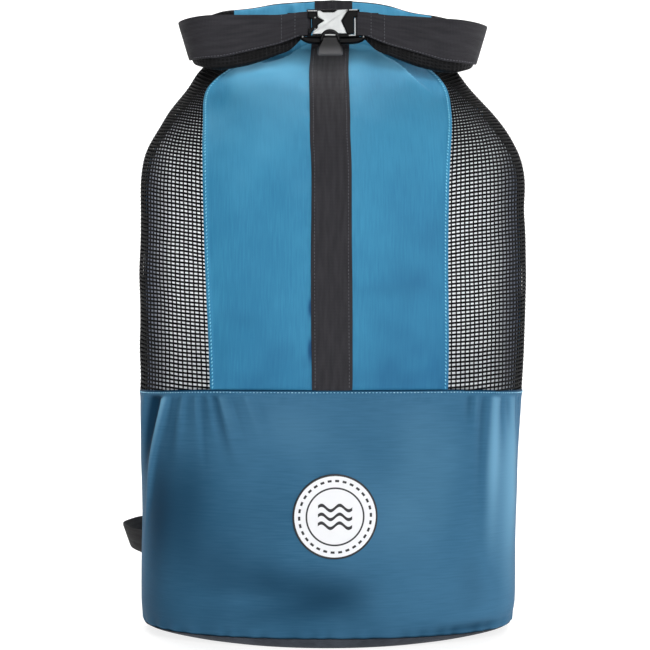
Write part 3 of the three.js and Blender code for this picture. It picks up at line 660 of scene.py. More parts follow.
def lowerStand(height, along):
    # how far the face stands off: hem proud at the top, tucked under at the foot
    hem = ramp(height, lowerBody["hemFoot"], lowerBody["hemFoot"] + 2.5) * lowerBody["hemProud"]
    edge = -0.9 * ramp(height, lowerBody["hemTop"] - 1.2, lowerBody["hemTop"])
    groove = -0.3 * bell(height, lowerBody["stitchAt"], 0.8)
    foot = -2.0 * (1 - ramp(height, body["low"], body["low"] + 3.5)) ** 2
    return hem + edge + groove + foot - lowerFold(height, along)


def hemDip(height, along):  # the hem hangs a little lower at the sides and back
    return lowerBody["hemDip"] * ramp(np.abs(along), 105, 225) * ramp(height, 150, lowerBody["hemTop"])


def makeLowerBody():
    low, top = body["low"], lowerBody["hemTop"]
    heights = np.concatenate([
        np.linspace(low, low + 6, 9)[:-1], np.linspace(low + 6, 240, lowerBody["rows"] - 26)[:-1],
        np.linspace(240, top, 19)])
    even = np.linspace(-1, 1, lowerBody["columns"] + 1)
    share = even - lowerBody["crowding"] / math.pi * np.sin(math.pi * even)  # closer together at the front
    level = heights[:, None]
    along = halfRound(level) * share[None, :-1]
    stand = lowerStand(level, along)
    outer = clothPoint(level, along, stand)
    outer[..., 2] = level - hemDip(level, along)
    inner = clothPoint(level, along, stand - lowerBody["thickness"])
    inner[..., 2] = outer[..., 2]
    maps = np.stack(np.broadcast_arrays(halfRound(level) * share[None], level), -1)
    # painted light and shade for the fold attribute: a painted shadow under the hem's top edge, painted shade towards
    # the foot, in the hollows and in the gathers' valleys, painted highlight on their ridges, and broad painted areas
    # from the table
    seamShade = ramp(level, lowerBody["hemTop"] - 1.9, lowerBody["hemTop"] - 0.9)
    paintedTone = sum(much * bell(along, at, spread) * bell(level, height, rise)
               for at, height, much, spread, rise in lowerBody["paintedTones"])
    footShade = 0.25 * (1 - ramp(level, 12, 70))
    shade = lowerFold(level, along) / lowerBody["shadeDepth"] + lowerGathers(level, along) / lowerBody["gatherDepth"]
    fold = np.clip(paintedTone - shade - seamShade - footShade, -1, 1)
    piece = shellPiece("lowerBody", outer, inner, maps, [coatedCloth, paleLining], wrap=True, fold=fold,
                       slot="coated_cloth", replaces=("lower_body",))
    line = np.linspace(-halfRound(247.0), halfRound(247.0), 900)
    level = np.full_like(line, lowerBody["stitchAt"])
    path = clothPoint(level, line, lowerStand(level, line))
    path[:, 2] = level - hemDip(level, line)
    stitches = stitchRow("hemStitches", path, bodyNormal(level, line), paleThread,
                         {"pitch": 3.4, "length": 1.7, "radius": 0.45, "proud": 0.25})
    return piece


makeLowerBody()
print("lower body made")


# Upper walls: cloth panels with turned hems

frontPanel = {
    "columns": 150, "rows": 170, "thickness": 1.0, "hem": 4.6, "proud": 0.9, "top": 609, "tuck": (248.5, 253),
    "ridge": [  # along, height and rise of the slack fold under the roll
        (-112, 566, 0), (-104, 571, 1), (-93, 574.5, 5), (-78, 582.5, 5.5), (-66, 578, 6), (-53, 582, 6.5),
        (-42, 588, 7), (-26, 602, 8.5), (0, 603, 9), (26, 603, 8.5), (43, 601.5, 8), (59, 588, 7.2),
        (73, 577.5, 6), (90, 558.5, 4),
        (106, 549, 0)],
    "dents": [  # along, height, depth, spread, rise: shallow pulls in the cloth
        (-104, 353, 0.8, 22, 9), (-97, 321, 1.0, 24, 10), (-52, 283, 0.8, 20, 14), (-80, 262, 0.8, 34, 9),
        (44, 350, 0.9, 26, 7), (70, 355, 0.7, 30, 12), (58, 287, 0.9, 26, 20), (40, 264, 0.8, 30, 10),
        (96, 262, 0.5, 26, 9), (-70, 452, 0.7, 22, 30), (66, 470, 0.8, 16, 40), (92, 402, 0.6, 18, 26)],
    "slitShadows": [  # along, height, rise: painted shadow where the cloth stands off the webbing's edge
        (-21.2, 331, 9), (-21.2, 291, 10)],
    "waves": (21, 150, 45), "puckers": (5, 90, 25), "wear": (27, 60, 20),  # seed, longest, shortest
    "tuckIn": 3.4, "below": 6.5,  # how far it goes in behind the lower hem, and how far under the seam it starts
}


def hemRise(inside, look):  # inside is the distance from the panel's edge
    rise = look["proud"] * (1 - ramp(inside, look["hem"] - 0.6, look["hem"] + 1.0))
    edge = -0.7 * look["proud"] * (1 - ramp(inside, 0, 0.9))
    return rise + edge


def frontCrease(height, along):
    # a slack fold under the roll: it swells up to a ridge line and drops away behind it
    line, proud = readTable(frontPanel["ridge"], along)
    over = height - line
    swell = 8 + 14 * bell(along, 0, 45)  # longer under the clip
    fold = proud * np.where(over < 0, np.exp(-np.abs(over) / swell), 1.3 * np.exp(-np.abs(over) / 2.5) - 0.3)
    return fold + 1.5 * bell(height - 0.12 * (along + 70), 570, 3) * bell(along, -72, 17)


def frontDent(height, along):
    return sum(deep * bell(along, at, spread) * bell(height, level, rise)
               for at, level, deep, spread, rise in frontPanel["dents"])


def frontStand(height, along):
    # soft slack between the hems and the wide webbing, creases under the roll, puckers beside the webbing
    inside = panelEdge(height, along) - np.abs(along)
    top = ramp(height, 520, 585)
    slack = 1.3 * ripple(along, height * 0.6, *frontPanel["waves"]) * ramp(inside, 4, 26) * ramp(height, 250, 285)
    puckerLine = bell(np.abs(along), 24, 4.5) * np.where(along < 0, 1, 0.55)
    pucker = 0.55 * puckerLine * np.sin(height / 3.3 + 2.5 * ripple(height, 0 * along, *frontPanel["puckers"]))
    creases = frontCrease(height, along) - frontDent(height, along)
    corner = -1.6 * bell(height, 545, 16) * bell(np.abs(along), 104, 10)
    calm = 1 - 0.85 * bell(np.abs(along), 0, 17)
    return (slack * (1 + 0.5 * top) + corner) * calm + creases + pucker + hemRise(inside, frontPanel)


def wallHeights(low, high, count, crowding=1.3):
    return low + (high - low) * (1 - (1 - np.linspace(0, 1, count)) ** crowding)


def makeWall(name, look, starts, ends, stand, materials, shade=None, **rest):
    # a sheet between two edges of the wall, each a distance along the cloth at every height
    level = wallHeights(body["seam"] - look["below"], look["top"], look["rows"])[:, None]
    share = 0.5 - 0.5 * np.cos(np.linspace(0, math.pi, look["columns"]))
    share = (0.6 * np.linspace(0, 1, look["columns"]) + 0.4 * share)[None]
    along = starts(level) * (1 - share) + ends(level) * share
    off = stand(level, along) - look["tuckIn"] * (1 - ramp(level, *look["tuck"]))  # goes in behind the hem
    outer = clothPoint(level, along, off)
    inner = clothPoint(level, along, off - look["thickness"])
    rise = runLength(outer[:, outer.shape[1] // 2])
    maps = np.stack(np.broadcast_arrays(along, rise[:, None]), -1)
    return shellPiece(name, outer, inner, maps, materials, fold=shade and shade(level, along), **rest)


def edgePath(edge, inset, stand, low=251.5, high=592, count=420):
    level = np.linspace(low, high, count)
    along = edge(level) - inset
    return clothPoint(level, along, stand(level, along)), bodyNormal(level, along)


def frontShade(height, along):
    # painted light and shade: paler up to the roll and darker on the right, painted shade in the upper left corner
    # and in the dents, painted shadow in the slits, painted highlight and shade over the crease under the roll, with
    # a faint mottle
    right = (0.15 + 0.15 * ramp(height, 250, 420)) * ramp(along, 10, 70)
    corner = 0.6 * bell(height, 548, 16) * bell(along, -114, 13)
    slitShadow = sum(bell(along, at, 2.8) * bell(height, level, rise) for at, level, rise in frontPanel["slitShadows"])
    paintedTone = (height - 400) / np.where(height > 400, 350, 440) + 0.06 * ripple(along, height, *frontPanel["wear"])
    folds = frontCrease(height, along) / 9 - frontDent(height, along) / 11
    return np.clip(folds + paintedTone - right - corner - slitShadow, -1, 1)


def makeFrontPanel():
    piece = makeWall("frontPanel", frontPanel, lambda h: -panelEdge(h, -1), lambda h: panelEdge(h, 1), frontStand,
                     [panelCloth, paleLining], frontShade,
                     slot="panel_cloth", replaces=("front_panel",))
    for sign, side in ((-1, "Left"), (1, "Right")):
        path, normals = edgePath(lambda h: sign * panelEdge(h, sign), sign * 3.4, frontStand)
        stitchRow("panelStitches" + side, path, normals, blueThread,
                              {"pitch": 3.5, "length": 2.4, "radius": 0.5, "slant": 0.45 * sign, "proud": 0.2})
    return piece


makeFrontPanel()

backPanel = {
    "columns": 150, "rows": 110, "thickness": 1.0, "hem": 6, "proud": 0.7, "top": 601.5, "tuck": (245, 249.5),
    "waves": (33, 160, 50), "tuckIn": 3.4, "below": 6.5,
}


def backStand(height, along):
    inside = np.abs(along) - backEdge(height)
    inside = np.minimum(inside, 2 * halfRound(height) - np.abs(along) - backEdge(height) + 0 * inside)
    slack = 1.1 * ripple(along, height * 0.6, *backPanel["waves"]) * ramp(inside, 4, 26) * ramp(height, 250, 285)
    return slack + hemRise(inside, backPanel)


def roundBack(height):
    return 2 * halfRound(height) - backEdge(height)


def makeBackPanel():
    piece = makeWall("backPanel", backPanel, backEdge, roundBack, backStand, [coatedCloth, paleLining],
                     slot="coated_cloth", replaces=("back_panel",))
    for edge, inset, side in ((backEdge, -4.4, "Right"), (roundBack, 4.4, "Left")):
        path, normals = edgePath(edge, inset, backStand)
        stitchRow("backStitches" + side, path, normals, blueThread,
                              {"pitch": 2.9, "length": 2.2, "radius": 0.4, "proud": 0.15})
    return piece


makeBackPanel()
print("panels made")


# Net sides: round strands, knotted where they cross

net = {
    "pitch": 4.1, "columnPitch": 4.75, "rowRadius": 1.06, "columnRadius": 0.7, "knot": 1.12, "dip": (11, 14),
    "sides": 6, "inset": 1.15, "overlap": 1.5, "depthShare": 0.65,
}


def netShares(sign):
    # columns at even steps across the net, with depth counted in part, so that they crowd less at the sides
    along = np.linspace(panelEdge(400.0, sign) - net["overlap"], backEdge(400.0) + net["overlap"], 600)
    spots = bodyPoint(400.0, along)
    steps = np.hypot(np.diff(spots[:, 0]), net["depthShare"] * np.diff(spots[:, 1]))
    length = np.concatenate([[0], np.cumsum(steps)])
    count = int(round(length[-1] / net["columnPitch"]))
    return np.interp(np.linspace(0, length[-1], 2 * count + 1), length, np.linspace(0, 1, 600))


def netLevels():
    # cloth length up the middle of the net for a fine set of heights
    heights = np.linspace(body["seam"] - 7, body["neck"], 800)
    middle = (panelEdge(heights, 1) + backEdge(heights)) / 2
    return heights, runLength(bodyPoint(heights, middle))


def makeNet(name, node, sign):
    # columns share the width between the panels; rows climb by an even step of cloth and dip to the front panel
    heights, climb = netLevels()
    count = int((climb[-1] + sum(net["dip"])) / net["pitch"]) + 1
    rise = np.arange(2 * count - 1)[:, None] * net["pitch"] / 2
    share = netShares(sign)[None]
    reach = rise - (net["dip"][0] + net["dip"][1] * ramp(rise, 20, 260)) * (1 - share) ** 1.2
    reach = reach + 0.35 * ripple(share * 160, rise, 41, 70, 18)
    inside = (reach > -1) & (reach < climb[-1] + 1)
    level = np.interp(reach, climb, heights)
    start, end = panelEdge(level, sign) - net["overlap"], backEdge(level) + net["overlap"]
    along = sign * (start * (1 - share) + end * share)
    sag = 0.7 * ripple(along, level, 17, 110, 40)
    centre = clothPoint(level, along, sag - net["inset"] - 2 * (1 - ramp(level, 245, 249.5)))
    out = bodyNormal(level, along)
    turn = np.arange(net["sides"]) * 2 * math.pi / net["sides"]
    between = (np.arange(rise.shape[0]) % 2)[:, None] | (np.arange(share.shape[1]) % 2)[None]
    size = np.where(between, 1.0, net["knot"])
    allPoints, allFaces, start = [], [], 0
    for spots, outs, thick, good in (
            (centre[:, ::2], out[:, ::2], size[:, ::2] * net["columnRadius"], inside[:, ::2]),
            (centre[::2].swapaxes(0, 1), out[::2].swapaxes(0, 1), size[::2].T * net["rowRadius"], inside[::2].T)):
        way = unit(np.gradient(spots, axis=0))
        beside = unit(np.cross(way, outs))
        ring = np.cos(turn)[:, None] * outs[..., None, :] + np.sin(turn)[:, None] * beside[..., None, :]
        points = spots[..., None, :] + ring * thick[..., None, None]
        steps, strands, sides = points.shape[:3]
        index = np.arange(steps * strands * sides).reshape(steps, strands, sides) + start
        a, b = index[:-1], index[1:]
        faces = np.stack([a, np.roll(a, -1, 2), np.roll(b, -1, 2), b], -1)[good[:-1] & good[1:]]
        allPoints.append(points.reshape(-1, 3))
        allFaces.append(faces.reshape(-1, 4)[:, ::-1])
        start += steps * strands * sides
    points, faces = np.concatenate(allPoints), np.concatenate(allFaces)
    used, faces = np.unique(faces, return_inverse=True)
    return makePiece(name, points[used], faces.reshape(-1, 4), [netBlack], slot="black_mesh", replaces=(node,))


for name, node, sign in (("netLeft", "mesh_left", -1), ("netRight", "mesh_right", 1)):
    side = makeNet(name, node, sign)
    print(name, len(side.data.polygons) * 2, "triangles")


# Wide webbing up the front, on to the face of the roll

centreStrap = {
    "half": 19.8, "top": 652, "leaves": 607, "seat": 0.6, "thickness": 1.5, "rows": 190, "columns": 27,
    "drift": [  # height, to the right
        (250, 0.4), (300, -1), (385, -1.6), (465, -1.7), (505, -2.5), (545, -0.3), (570, 0.5), (590, 1.8),
        (607, 2.6)],
}


def strapSpot(level, side, offset):
    drift = readTable(centreStrap["drift"], level)[0]
    tuck = 3.2 * (1 - ramp(level, 249.5, 254))
    spot = clothPoint(level, side + drift, offset + np.maximum(frontCrease(level, 0 * side), 0) - tuck)
    above = ramp(level, centreStrap["leaves"], 630)  # from the panel's middle over to the roll's
    spot[..., 0] = spot[..., 0] * (1 - above) + (side + body["lean"] + 0.8) * above
    return spot


def makeCentreStrap():
    # a flat band with thin selvedges that follows the panel and then stands straight up the roll's face
    onRoll = np.linspace(608, centreStrap["top"], 20)
    level = np.concatenate([wallHeights(246, 606, centreStrap["rows"] - 20), onRoll])[:, None]
    share = edgeCrowded(centreStrap["columns"])[None]
    level, share = np.broadcast_arrays(level, share)
    side = share * (centreStrap["half"] - 0.25 * np.sin(level / 31))
    crown = centreStrap["thickness"] * (1 - 0.45 * np.abs(share) ** 10)
    outer = strapSpot(level, side, centreStrap["seat"] + crown)
    inner = strapSpot(level, side, centreStrap["seat"] + 0 * crown)
    maps = np.stack([side, level], -1)
    piece = shellPiece("centreStrap", outer, inner, maps, [greyWebbing], slot="grey_webbing",
                       replaces=("centre_strap",))
    line, rows = np.linspace(253, 594, 400), []
    for sign, name in ((-1, "Left"), (1, "Right")):
        beside = np.full_like(line, sign * 16.4)
        path = strapSpot(line, beside, np.full_like(line, centreStrap["seat"] + centreStrap["thickness"]))
        rows.append(stitchRow("strapStitches" + name, path, bodyNormal(line, beside), greyThread,
                              {"pitch": 3.4, "length": 2.3, "radius": 0.33, "proud": 0.05}))
    return piece


makeCentreStrap()
print("centre strap made")


# Rolled mouth

roll = {
    "backLine": 4, "bendAt": 117, "bendRadius": 28, "bandLeaves": 267,
    "drops": [(84, 4.4, 28), (186, 6.2, 54), (-195, 1.5, 50)],  # way, depth, width: where roll and band hang lower
    "lifts": [(-120, 4.5, 22)],  # and where the net stands up over the band
    "section": (84, 7, 26),  # points round the section, half thickness, half height
    "rows": [  # way along the roll, top, bottom, thickness, flare
        (0, 654.3, 598.4, 14, 0), (57, 650.5, 598.4, 14, 0), (80, 646.4, 598.4, 14, 0),
        (104, 641.5, 598.4, 14, 0.03), (129, 634.5, 598.4, 13, 0.14), (142, 629, 591, 12, 0.24),
        (159.5, 624.5, 584, 12, 0.3), (182, 625, 578, 13, 0.25), (203.5, 626, 574, 14, 0.15),
        (233, 626, 577, 12, 0.06), (250, 626, 581.5, 10, 0.03), (267, 626, 587.5, 7, 0),
        (273, 625.5, 589.5, 3.4, 0), (279, 623, 592.5, 2.8, 0), (285, 620, 598, 2.2, 0), (291, 616, 604, 1.6, 0)],
    "band": [  # way, top, bottom
        (0, 655.3, 617), (57, 651.5, 613), (80, 647.4, 609), (104, 642.5, 604), (129, 635.5, 597),
        (159.5, 625.5, 587.5), (203.5, 627, 585), (233, 627, 590), (267, 627, 597.5)],
    "folds": [  # way, depth, width, tilt of soft folds in the cloth of the arch
        (-45, -2.4, 5, 0.25), (-36, 2.2, 5, 0.2), (-27, -1.6, 4, 0.1), (52, -2.2, 5, -0.3), (62, 1.9, 6, -0.3),
        (75, -1.8, 5, -0.4), (-72, 1.4, 8, 0.3)],
}


def rollPlan(way):
    # plan of the roll: straight along the back, a half circle at each end, then back along the front
    side = np.where(way < 0, -1, 1)
    distance = np.abs(way)
    bendEnd = roll["bendAt"] + math.pi * roll["bendRadius"]
    turn = np.clip((distance - roll["bendAt"]) / roll["bendRadius"], 0, math.pi)
    across = np.minimum(distance, roll["bendAt"]) - np.maximum(distance - bendEnd, 0)
    x = side * (across + roll["bendRadius"] * np.sin(turn))
    y = roll["backLine"] - roll["bendRadius"] * (1 - np.cos(turn))
    return x, y, side * np.sin(turn), np.cos(turn)


def rollRows(way):  # top, bottom, thickness and flare; the mouth hangs lower on the right
    top, bottom, thick, flare = readTable(roll["rows"], np.abs(way))
    lift, sag = bells(way, roll["lifts"]), bells(way, roll["drops"][1:])
    return top - archDrop(way) + lift, bottom - 0.8 * sag, thick, flare


def bells(way, rows):  # the bells of a table's rows of place, depth and width, added up
    return sum(depth * bell(way, at, width) for at, depth, width in rows)


def archDrop(way):
    return bells(way, roll["drops"])


def rollPoint(way, offset, height):
    x, y, outX, outY = rollPlan(way)
    top, bottom, _, flare = rollRows(way)
    reach = offset + flare * (height - (top + bottom) / 2)
    return np.stack([x + outX * reach + body["lean"], y + outY * reach, height], -1)


def softBox(count, half, tall, power=5.0):
    # superellipse section re-spaced evenly along its own length, as shares of its half sizes
    turn = np.linspace(0, 2 * math.pi, 4001)
    c, s = np.cos(turn), np.sin(turn)
    x = np.sign(c) * np.abs(c) ** (2 / power)
    z = np.sign(s) * np.abs(s) ** (2 / power)
    length = np.concatenate([[0], np.cumsum(np.hypot(np.diff(x * half), np.diff(z * tall)))])
    even = np.linspace(0, length[-1], count, endpoint=False)
    return np.interp(even, length, x), np.interp(even, length, z), even


def makeRoll(name, node, begin, finish, seed, materials, slot):
    # a soft flat section carried along the roll, with wound edges and uneven waves, closed at both ends
    stations = np.linspace(begin, finish, int(abs(finish - begin) / 1.3))[:, None]
    shareX, shareZ, girth = softBox(*roll["section"])
    top, bottom, thick = rollRows(stations)[:3]
    face = ramp(np.abs(shareX), 0.7, 1.0)[None]
    wound = 0.5 * np.sin(shareZ[None] * 7 + 0.02 * stations + seed) * face
    waves = 0.5 * ripple(stations, girth[None] * 1.4, seed, 70, 16)
    lean = shareZ[None] * roll["section"][2]
    folds = sum(depth * bell(stations + tilt * lean, at, width) for at, depth, width, tilt in roll["folds"])
    puff = (wound + waves + folds * face) * np.minimum(thick / 12, 1)
    offset = shareX[None] * (thick / 2 - 0.5) + np.sign(shareX[None]) * puff * 0.8
    height = (top + bottom) / 2 + shareZ[None] * ((top - bottom) / 2 - 0.3)
    points = rollPoint(stations + 0 * height, offset, height)
    ends = points[[0, -1]].mean(1, keepdims=True) + 0 * points[[0, -1]]
    rims = ends * 0.15 + points[[0, -1]] * 0.85
    points = np.concatenate([ends[:1], rims[:1], points, rims[1:], ends[1:]])
    faces = gridFaces(*points.shape[:2], True)
    maps = np.stack(np.broadcast_arrays(
        np.concatenate([stations[:1]] * 2 + [stations] + [stations[-1:]] * 2),
        np.append(girth, girth[-1] + 1)[None]), -1).reshape(-1, 2)
    uv = maps[gridFaces(points.shape[0], points.shape[1] + 1)] * mm
    kinds = np.tile((shareZ + np.roll(shareZ, -1) > 1.87).astype(int), points.shape[0] - 1)  # bound top edge
    if finish < begin:  # the left side runs backwards
        faces, uv = faces[:, ::-1], uv[:, ::-1]
    return makePiece(name, points, faces[:, ::-1], materials, uv[:, ::-1], kinds, slot=slot, replaces=(node,))


makeRoll("rollCentre", "roll_centre", -103, 103, 3, [litArchCloth, netBlack], "panel_cloth")
makeRoll("rollRight", "roll_right", 103.3, 291, 7, [woundNet, netBlack], "black_mesh")
makeRoll("rollLeft", "roll_left", -103.3, -291, 8, [woundNet, netBlack], "black_mesh")
print("roll made")


# Band round the roll, looped into the clip at both ends

band = {
    "thickness": 1.6, "columns": 17,
    "end": [  # side, depth, top, bottom
        (45, -58.2, 627.6, 600.5), (38, -59.8, 628.4, 603.6), (32, -60.3, 629.3, 605.7), (25.5, -60.3, 629.3, 605.7)],
    "barAt": 25.5, "barMiddle": -57.5, "return": (46, -54.7),
}


def bandStations(sign):
    # lower and upper edge of the band's middle line: round the roll, on to the clip, round its bar and back
    way = sign * np.linspace(0, roll["bandLeaves"], 150)
    top, bottom = [edge - archDrop(way) for edge in readTable(roll["band"], np.abs(way))]
    off = rollRows(way)[2] / 2 + body["gap"] + band["thickness"] / 2
    low, high = rollPoint(way, off, bottom), rollPoint(way, off, top)
    ends = np.array(band["end"])
    wrap = band["barMiddle"] - ends[-1, 1]
    turn = np.linspace(0, math.pi, 17)[1:]
    loop = np.stack([band["barAt"] - wrap * np.sin(turn), band["barMiddle"] - wrap * np.cos(turn)], -1)
    back = np.array([[(band["barAt"] + band["return"][0]) / 2, band["return"][1]], band["return"]])
    lead = np.stack([np.interp(np.linspace(0, 3, 13), np.arange(4), ends[:, c]) for c in range(4)], -1)
    tail = np.concatenate([lead[:, :2], loop, back]) * np.array([sign, 1]) + np.array([body["lean"], 0])
    edges = [np.concatenate([lead[:, c], np.full(len(tail) - len(lead), ends[-1, c])]) for c in (2, 3)]
    low = np.concatenate([low, np.column_stack([tail, edges[1]])])
    high = np.concatenate([high, np.column_stack([tail, edges[0]])])
    calm = slice(120, 150 + 12)  # ease the step from the roll to the clip
    for edge in (low, high):
        edge[calm] = smoothed(edge[calm], 6)
    return low, high


def smoothed(line, times):  # averages each point with its neighbours, ends kept
    for step in range(times):
        line = np.concatenate([line[:1], (line[:-2] + 2 * line[1:-1] + line[2:]) / 4, line[-1:]])
    return line


def makeBand():
    left, right = bandStations(-1), bandStations(1)
    low, high = [np.concatenate([left[edge][:0:-1], right[edge]]) for edge in (0, 1)]
    share = edgeCrowded(band["columns"]) * 0.5 + 0.5
    middle = low[:, None] * (1 - share)[None, :, None] + high[:, None] * share[None, :, None]
    way = np.gradient(middle, axis=0)
    out = unit(np.stack([-way[..., 1], way[..., 0], 0 * way[..., 0]], -1))
    thin = band["thickness"] / 2 * (1 - 0.4 * np.abs(2 * share - 1) ** 12)[None, :, None]
    wave = 0.2 * ripple(np.arange(len(low))[:, None] * 1.8, share[None] * 12, 12, 120, 60)[..., None]
    outer = middle + out * (thin + wave)
    inner = middle - out * (thin - wave)
    length = runLength(middle[:, band["columns"] // 2])
    maps = np.stack(np.broadcast_arrays(share[None] * 40, length[:, None]), -1)
    piece = shellPiece("closureBand", outer, inner, maps, [greyWebbing], flip=True,
                       slot="grey_webbing", replaces=("closure_band",))
    return piece, outer, out


closureBand, bandFace, bandOut = makeBand()


def bandStitches():
    # a row along the lower edge of each front leg and short upright rows where the ends are sewn back
    look = {"pitch": 3.2, "length": 2.1, "radius": 0.33, "proud": 0.05}
    middle = len(bandFace) // 2
    front = np.where(bandFace[:, 8, 1] < -48)[0]
    made = []
    for side, name in ((-1, "Left"), (1, "Right")):
        rows = front[(front - middle) * side > 0]
        rows = rows[np.abs(bandFace[rows, 8, 0] - body["lean"]) > 34]
        made.append(stitchRow("bandEdge" + name, bandFace[rows, 2], bandOut[rows, 2], greyThread, look))
        for number, aside in enumerate((39, 52)):
            row = rows[np.argmin(np.abs(np.abs(bandFace[rows, 8, 0] - body["lean"]) - aside))]
            made.append(stitchRow("bandSewn" + name + str(number), bandFace[row, 1:-1], bandOut[row, 1:-1],
                                  greyThread, look))
    return made


bandStitches()
print("band made")


# Clip

def roundedOutline(corners, radius, steps=5):
    # each corner is replaced by a short curve between points a radius away along both of its sides
    corners = np.asarray(corners, float)
    before, after = np.roll(corners, 1, 0), np.roll(corners, -1, 0)
    reach = np.minimum(radius, 0.45 * np.minimum(np.linalg.norm(before - corners, axis=1),
                                                 np.linalg.norm(after - corners, axis=1)))[:, None]
    start, end = corners + unit(before - corners) * reach, corners + unit(after - corners) * reach
    t = np.linspace(0, 1, steps)[None, :, None]
    curve = start[:, None] * (1 - t) ** 2 + 2 * corners[:, None] * t * (1 - t) + end[:, None] * t ** 2
    return curve.reshape(-1, 2)


def plateParts(outline, front, rear, bevel):
    # an outline in X and Z carried in depth, its front and rear edges rounded by moving the outline inwards
    outline = np.asarray(outline, float)
    way = unit(np.roll(outline, -1, 0) - np.roll(outline, 1, 0))
    area = np.sum(outline[:, 0] * np.roll(outline[:, 1], -1) - outline[:, 1] * np.roll(outline[:, 0], -1))
    if area < 0:
        return plateParts(outline[::-1], front, rear, bevel)
    inward = np.stack([-way[:, 1], way[:, 0]], -1)
    turn = np.linspace(0, math.pi / 2, 4)
    rings = [(front + bevel * (1 - math.sin(a)), bevel * (1 - math.cos(a))) for a in turn[::-1]]
    rings += [(rear - bevel * (1 - math.sin(a)), bevel * (1 - math.cos(a))) for a in turn]
    moved = [(depth, outline + inward * inset) for depth, inset in rings]
    points = np.stack([np.column_stack([line[:, 0] + body["lean"], np.full(len(line), depth), line[:, 1]])
                       for depth, line in moved]).reshape(-1, 3)
    first = np.arange(len(outline))
    last = first + (len(rings) - 1) * len(outline)
    return points, [gridFaces(len(rings), len(outline), True), first[None], last[None, ::-1]]


def tubeParts(path, radius, sides=10):
    # a round section carried along a path that lies in an X and Z plane, with closed ends
    path = np.asarray(path, float) + np.array([body["lean"], 0, 0])
    way = unit(np.gradient(path, axis=0))
    beside = unit(np.stack([-way[:, 2], 0 * way[:, 0], way[:, 0]], -1))
    depth = np.cross(way, beside)
    turn = np.arange(sides) * 2 * math.pi / sides
    ring = np.cos(turn)[None, :, None] * beside[:, None] + np.sin(turn)[None, :, None] * depth[:, None]
    points = (path[:, None] + ring * np.broadcast_to(radius, len(path))[:, None, None]).reshape(-1, 3)
    first = np.arange(sides)
    return points, [gridFaces(len(path), sides, True), first[None, ::-1], (first + (len(path) - 1) * sides)[None]]


def joinParts(name, parts, material, slot, replaces=()):
    points, faces, start = [], [], 0
    for spots, groups in parts:
        points.append(spots)
        faces += [group + start for group in groups]
        start += len(spots)
    return makePiece(name, np.concatenate(points), faces, [material], slot=slot, replaces=replaces)


clip = {
    "front": -62.3, "rear": -53.5, "low": 603.5, "high": 631.5, "block": 17.4, "bar": 25.5, "plate": 1.8,
    "pull": -3, "pullFront": -68.2, "pullRear": -64.7,
    "plateOutline": [  # side, height
        (-16, 629.7), (-15.5, 623.9), (-14.7, 622.8), (-9, 619.7), (-14.7, 616.1), (-15.5, 615.2), (-15.7, 612.1),
        (-19.2, 610.2), (-21.6, 606.2), (14, 606.8), (8.2, 619.6), (15.1, 631), (4.4, 630.5), (1.4, 628),
        (-10.4, 628), (-12.6, 629.7)],
    "leftOutline": [
        (-9.5, 619.7), (-14.8, 622.3), (-16.2, 623.6), (-16.4, 628.1), (-20.6, 628.6), (-25.4, 628.9),
        (-25.4, 622.6), (-21.4, 621.8), (-21.4, 612.6), (-25.2, 611.8), (-25.2, 606.4), (-22.4, 606.2),
        (-19.7, 610.6), (-16.2, 612.5), (-16, 615.6), (-14.8, 616.6)],
    "rightOutline": [
        (9.3, 619.2), (14.3, 606.6), (21.1, 606.2), (21.1, 623.2), (24.4, 623.6), (24.4, 629.9), (15.9, 630)],
    "pullRows": [(12.6, 584.2), (12.9, 589), (11.6, 594.5), (8.4, 600), (7.8, 603.6)],  # half width, height
}


def clipBox(left, right, low, high, front, rear, bevel=0.6, radius=1.0):
    corners = [(left, low), (right, low), (right, high), (left, high)]
    return plateParts(roundedOutline(corners, radius), front, rear, bevel)


def clipHalf(sign):  # block behind the plate, bar for the band, an arm above and one below
    span = lambda near, far: sorted((sign * near, sign * far))
    arms = [(clip["high"] - 1.9, clip["high"]), (clip["low"], clip["low"] + 1.9)]
    return [
        clipBox(*span(0.15, clip["block"]), clip["low"], clip["high"], clip["front"], clip["rear"]),
        clipBox(*span(clip["bar"] - 1.2, clip["bar"] + 1.2), clip["low"], clip["high"], -58.7, -56.3, 0.9),
        *[clipBox(*span(clip["block"] - 1.5, clip["bar"] + 1.2), low, high, clip["front"], clip["rear"])
          for low, high in arms],
    ]


def dome(side, height, radius, face, tall):
    # a low rivet head: rings of a quarter ellipse
    turn = np.linspace(0, 2 * math.pi, 16, endpoint=False)[None]
    rise = np.linspace(0, math.pi / 2 - 0.02, 6)[:, None]
    points = np.stack(np.broadcast_arrays(
        side + body["lean"] + radius * np.cos(rise) * np.cos(turn), face - tall * np.sin(rise) + 0 * turn,
        height + radius * np.cos(rise) * np.sin(turn)), -1).reshape(-1, 3)
    return points, [gridFaces(6, 16, True)[:, ::-1], np.arange(80, 96)[None, ::-1]]


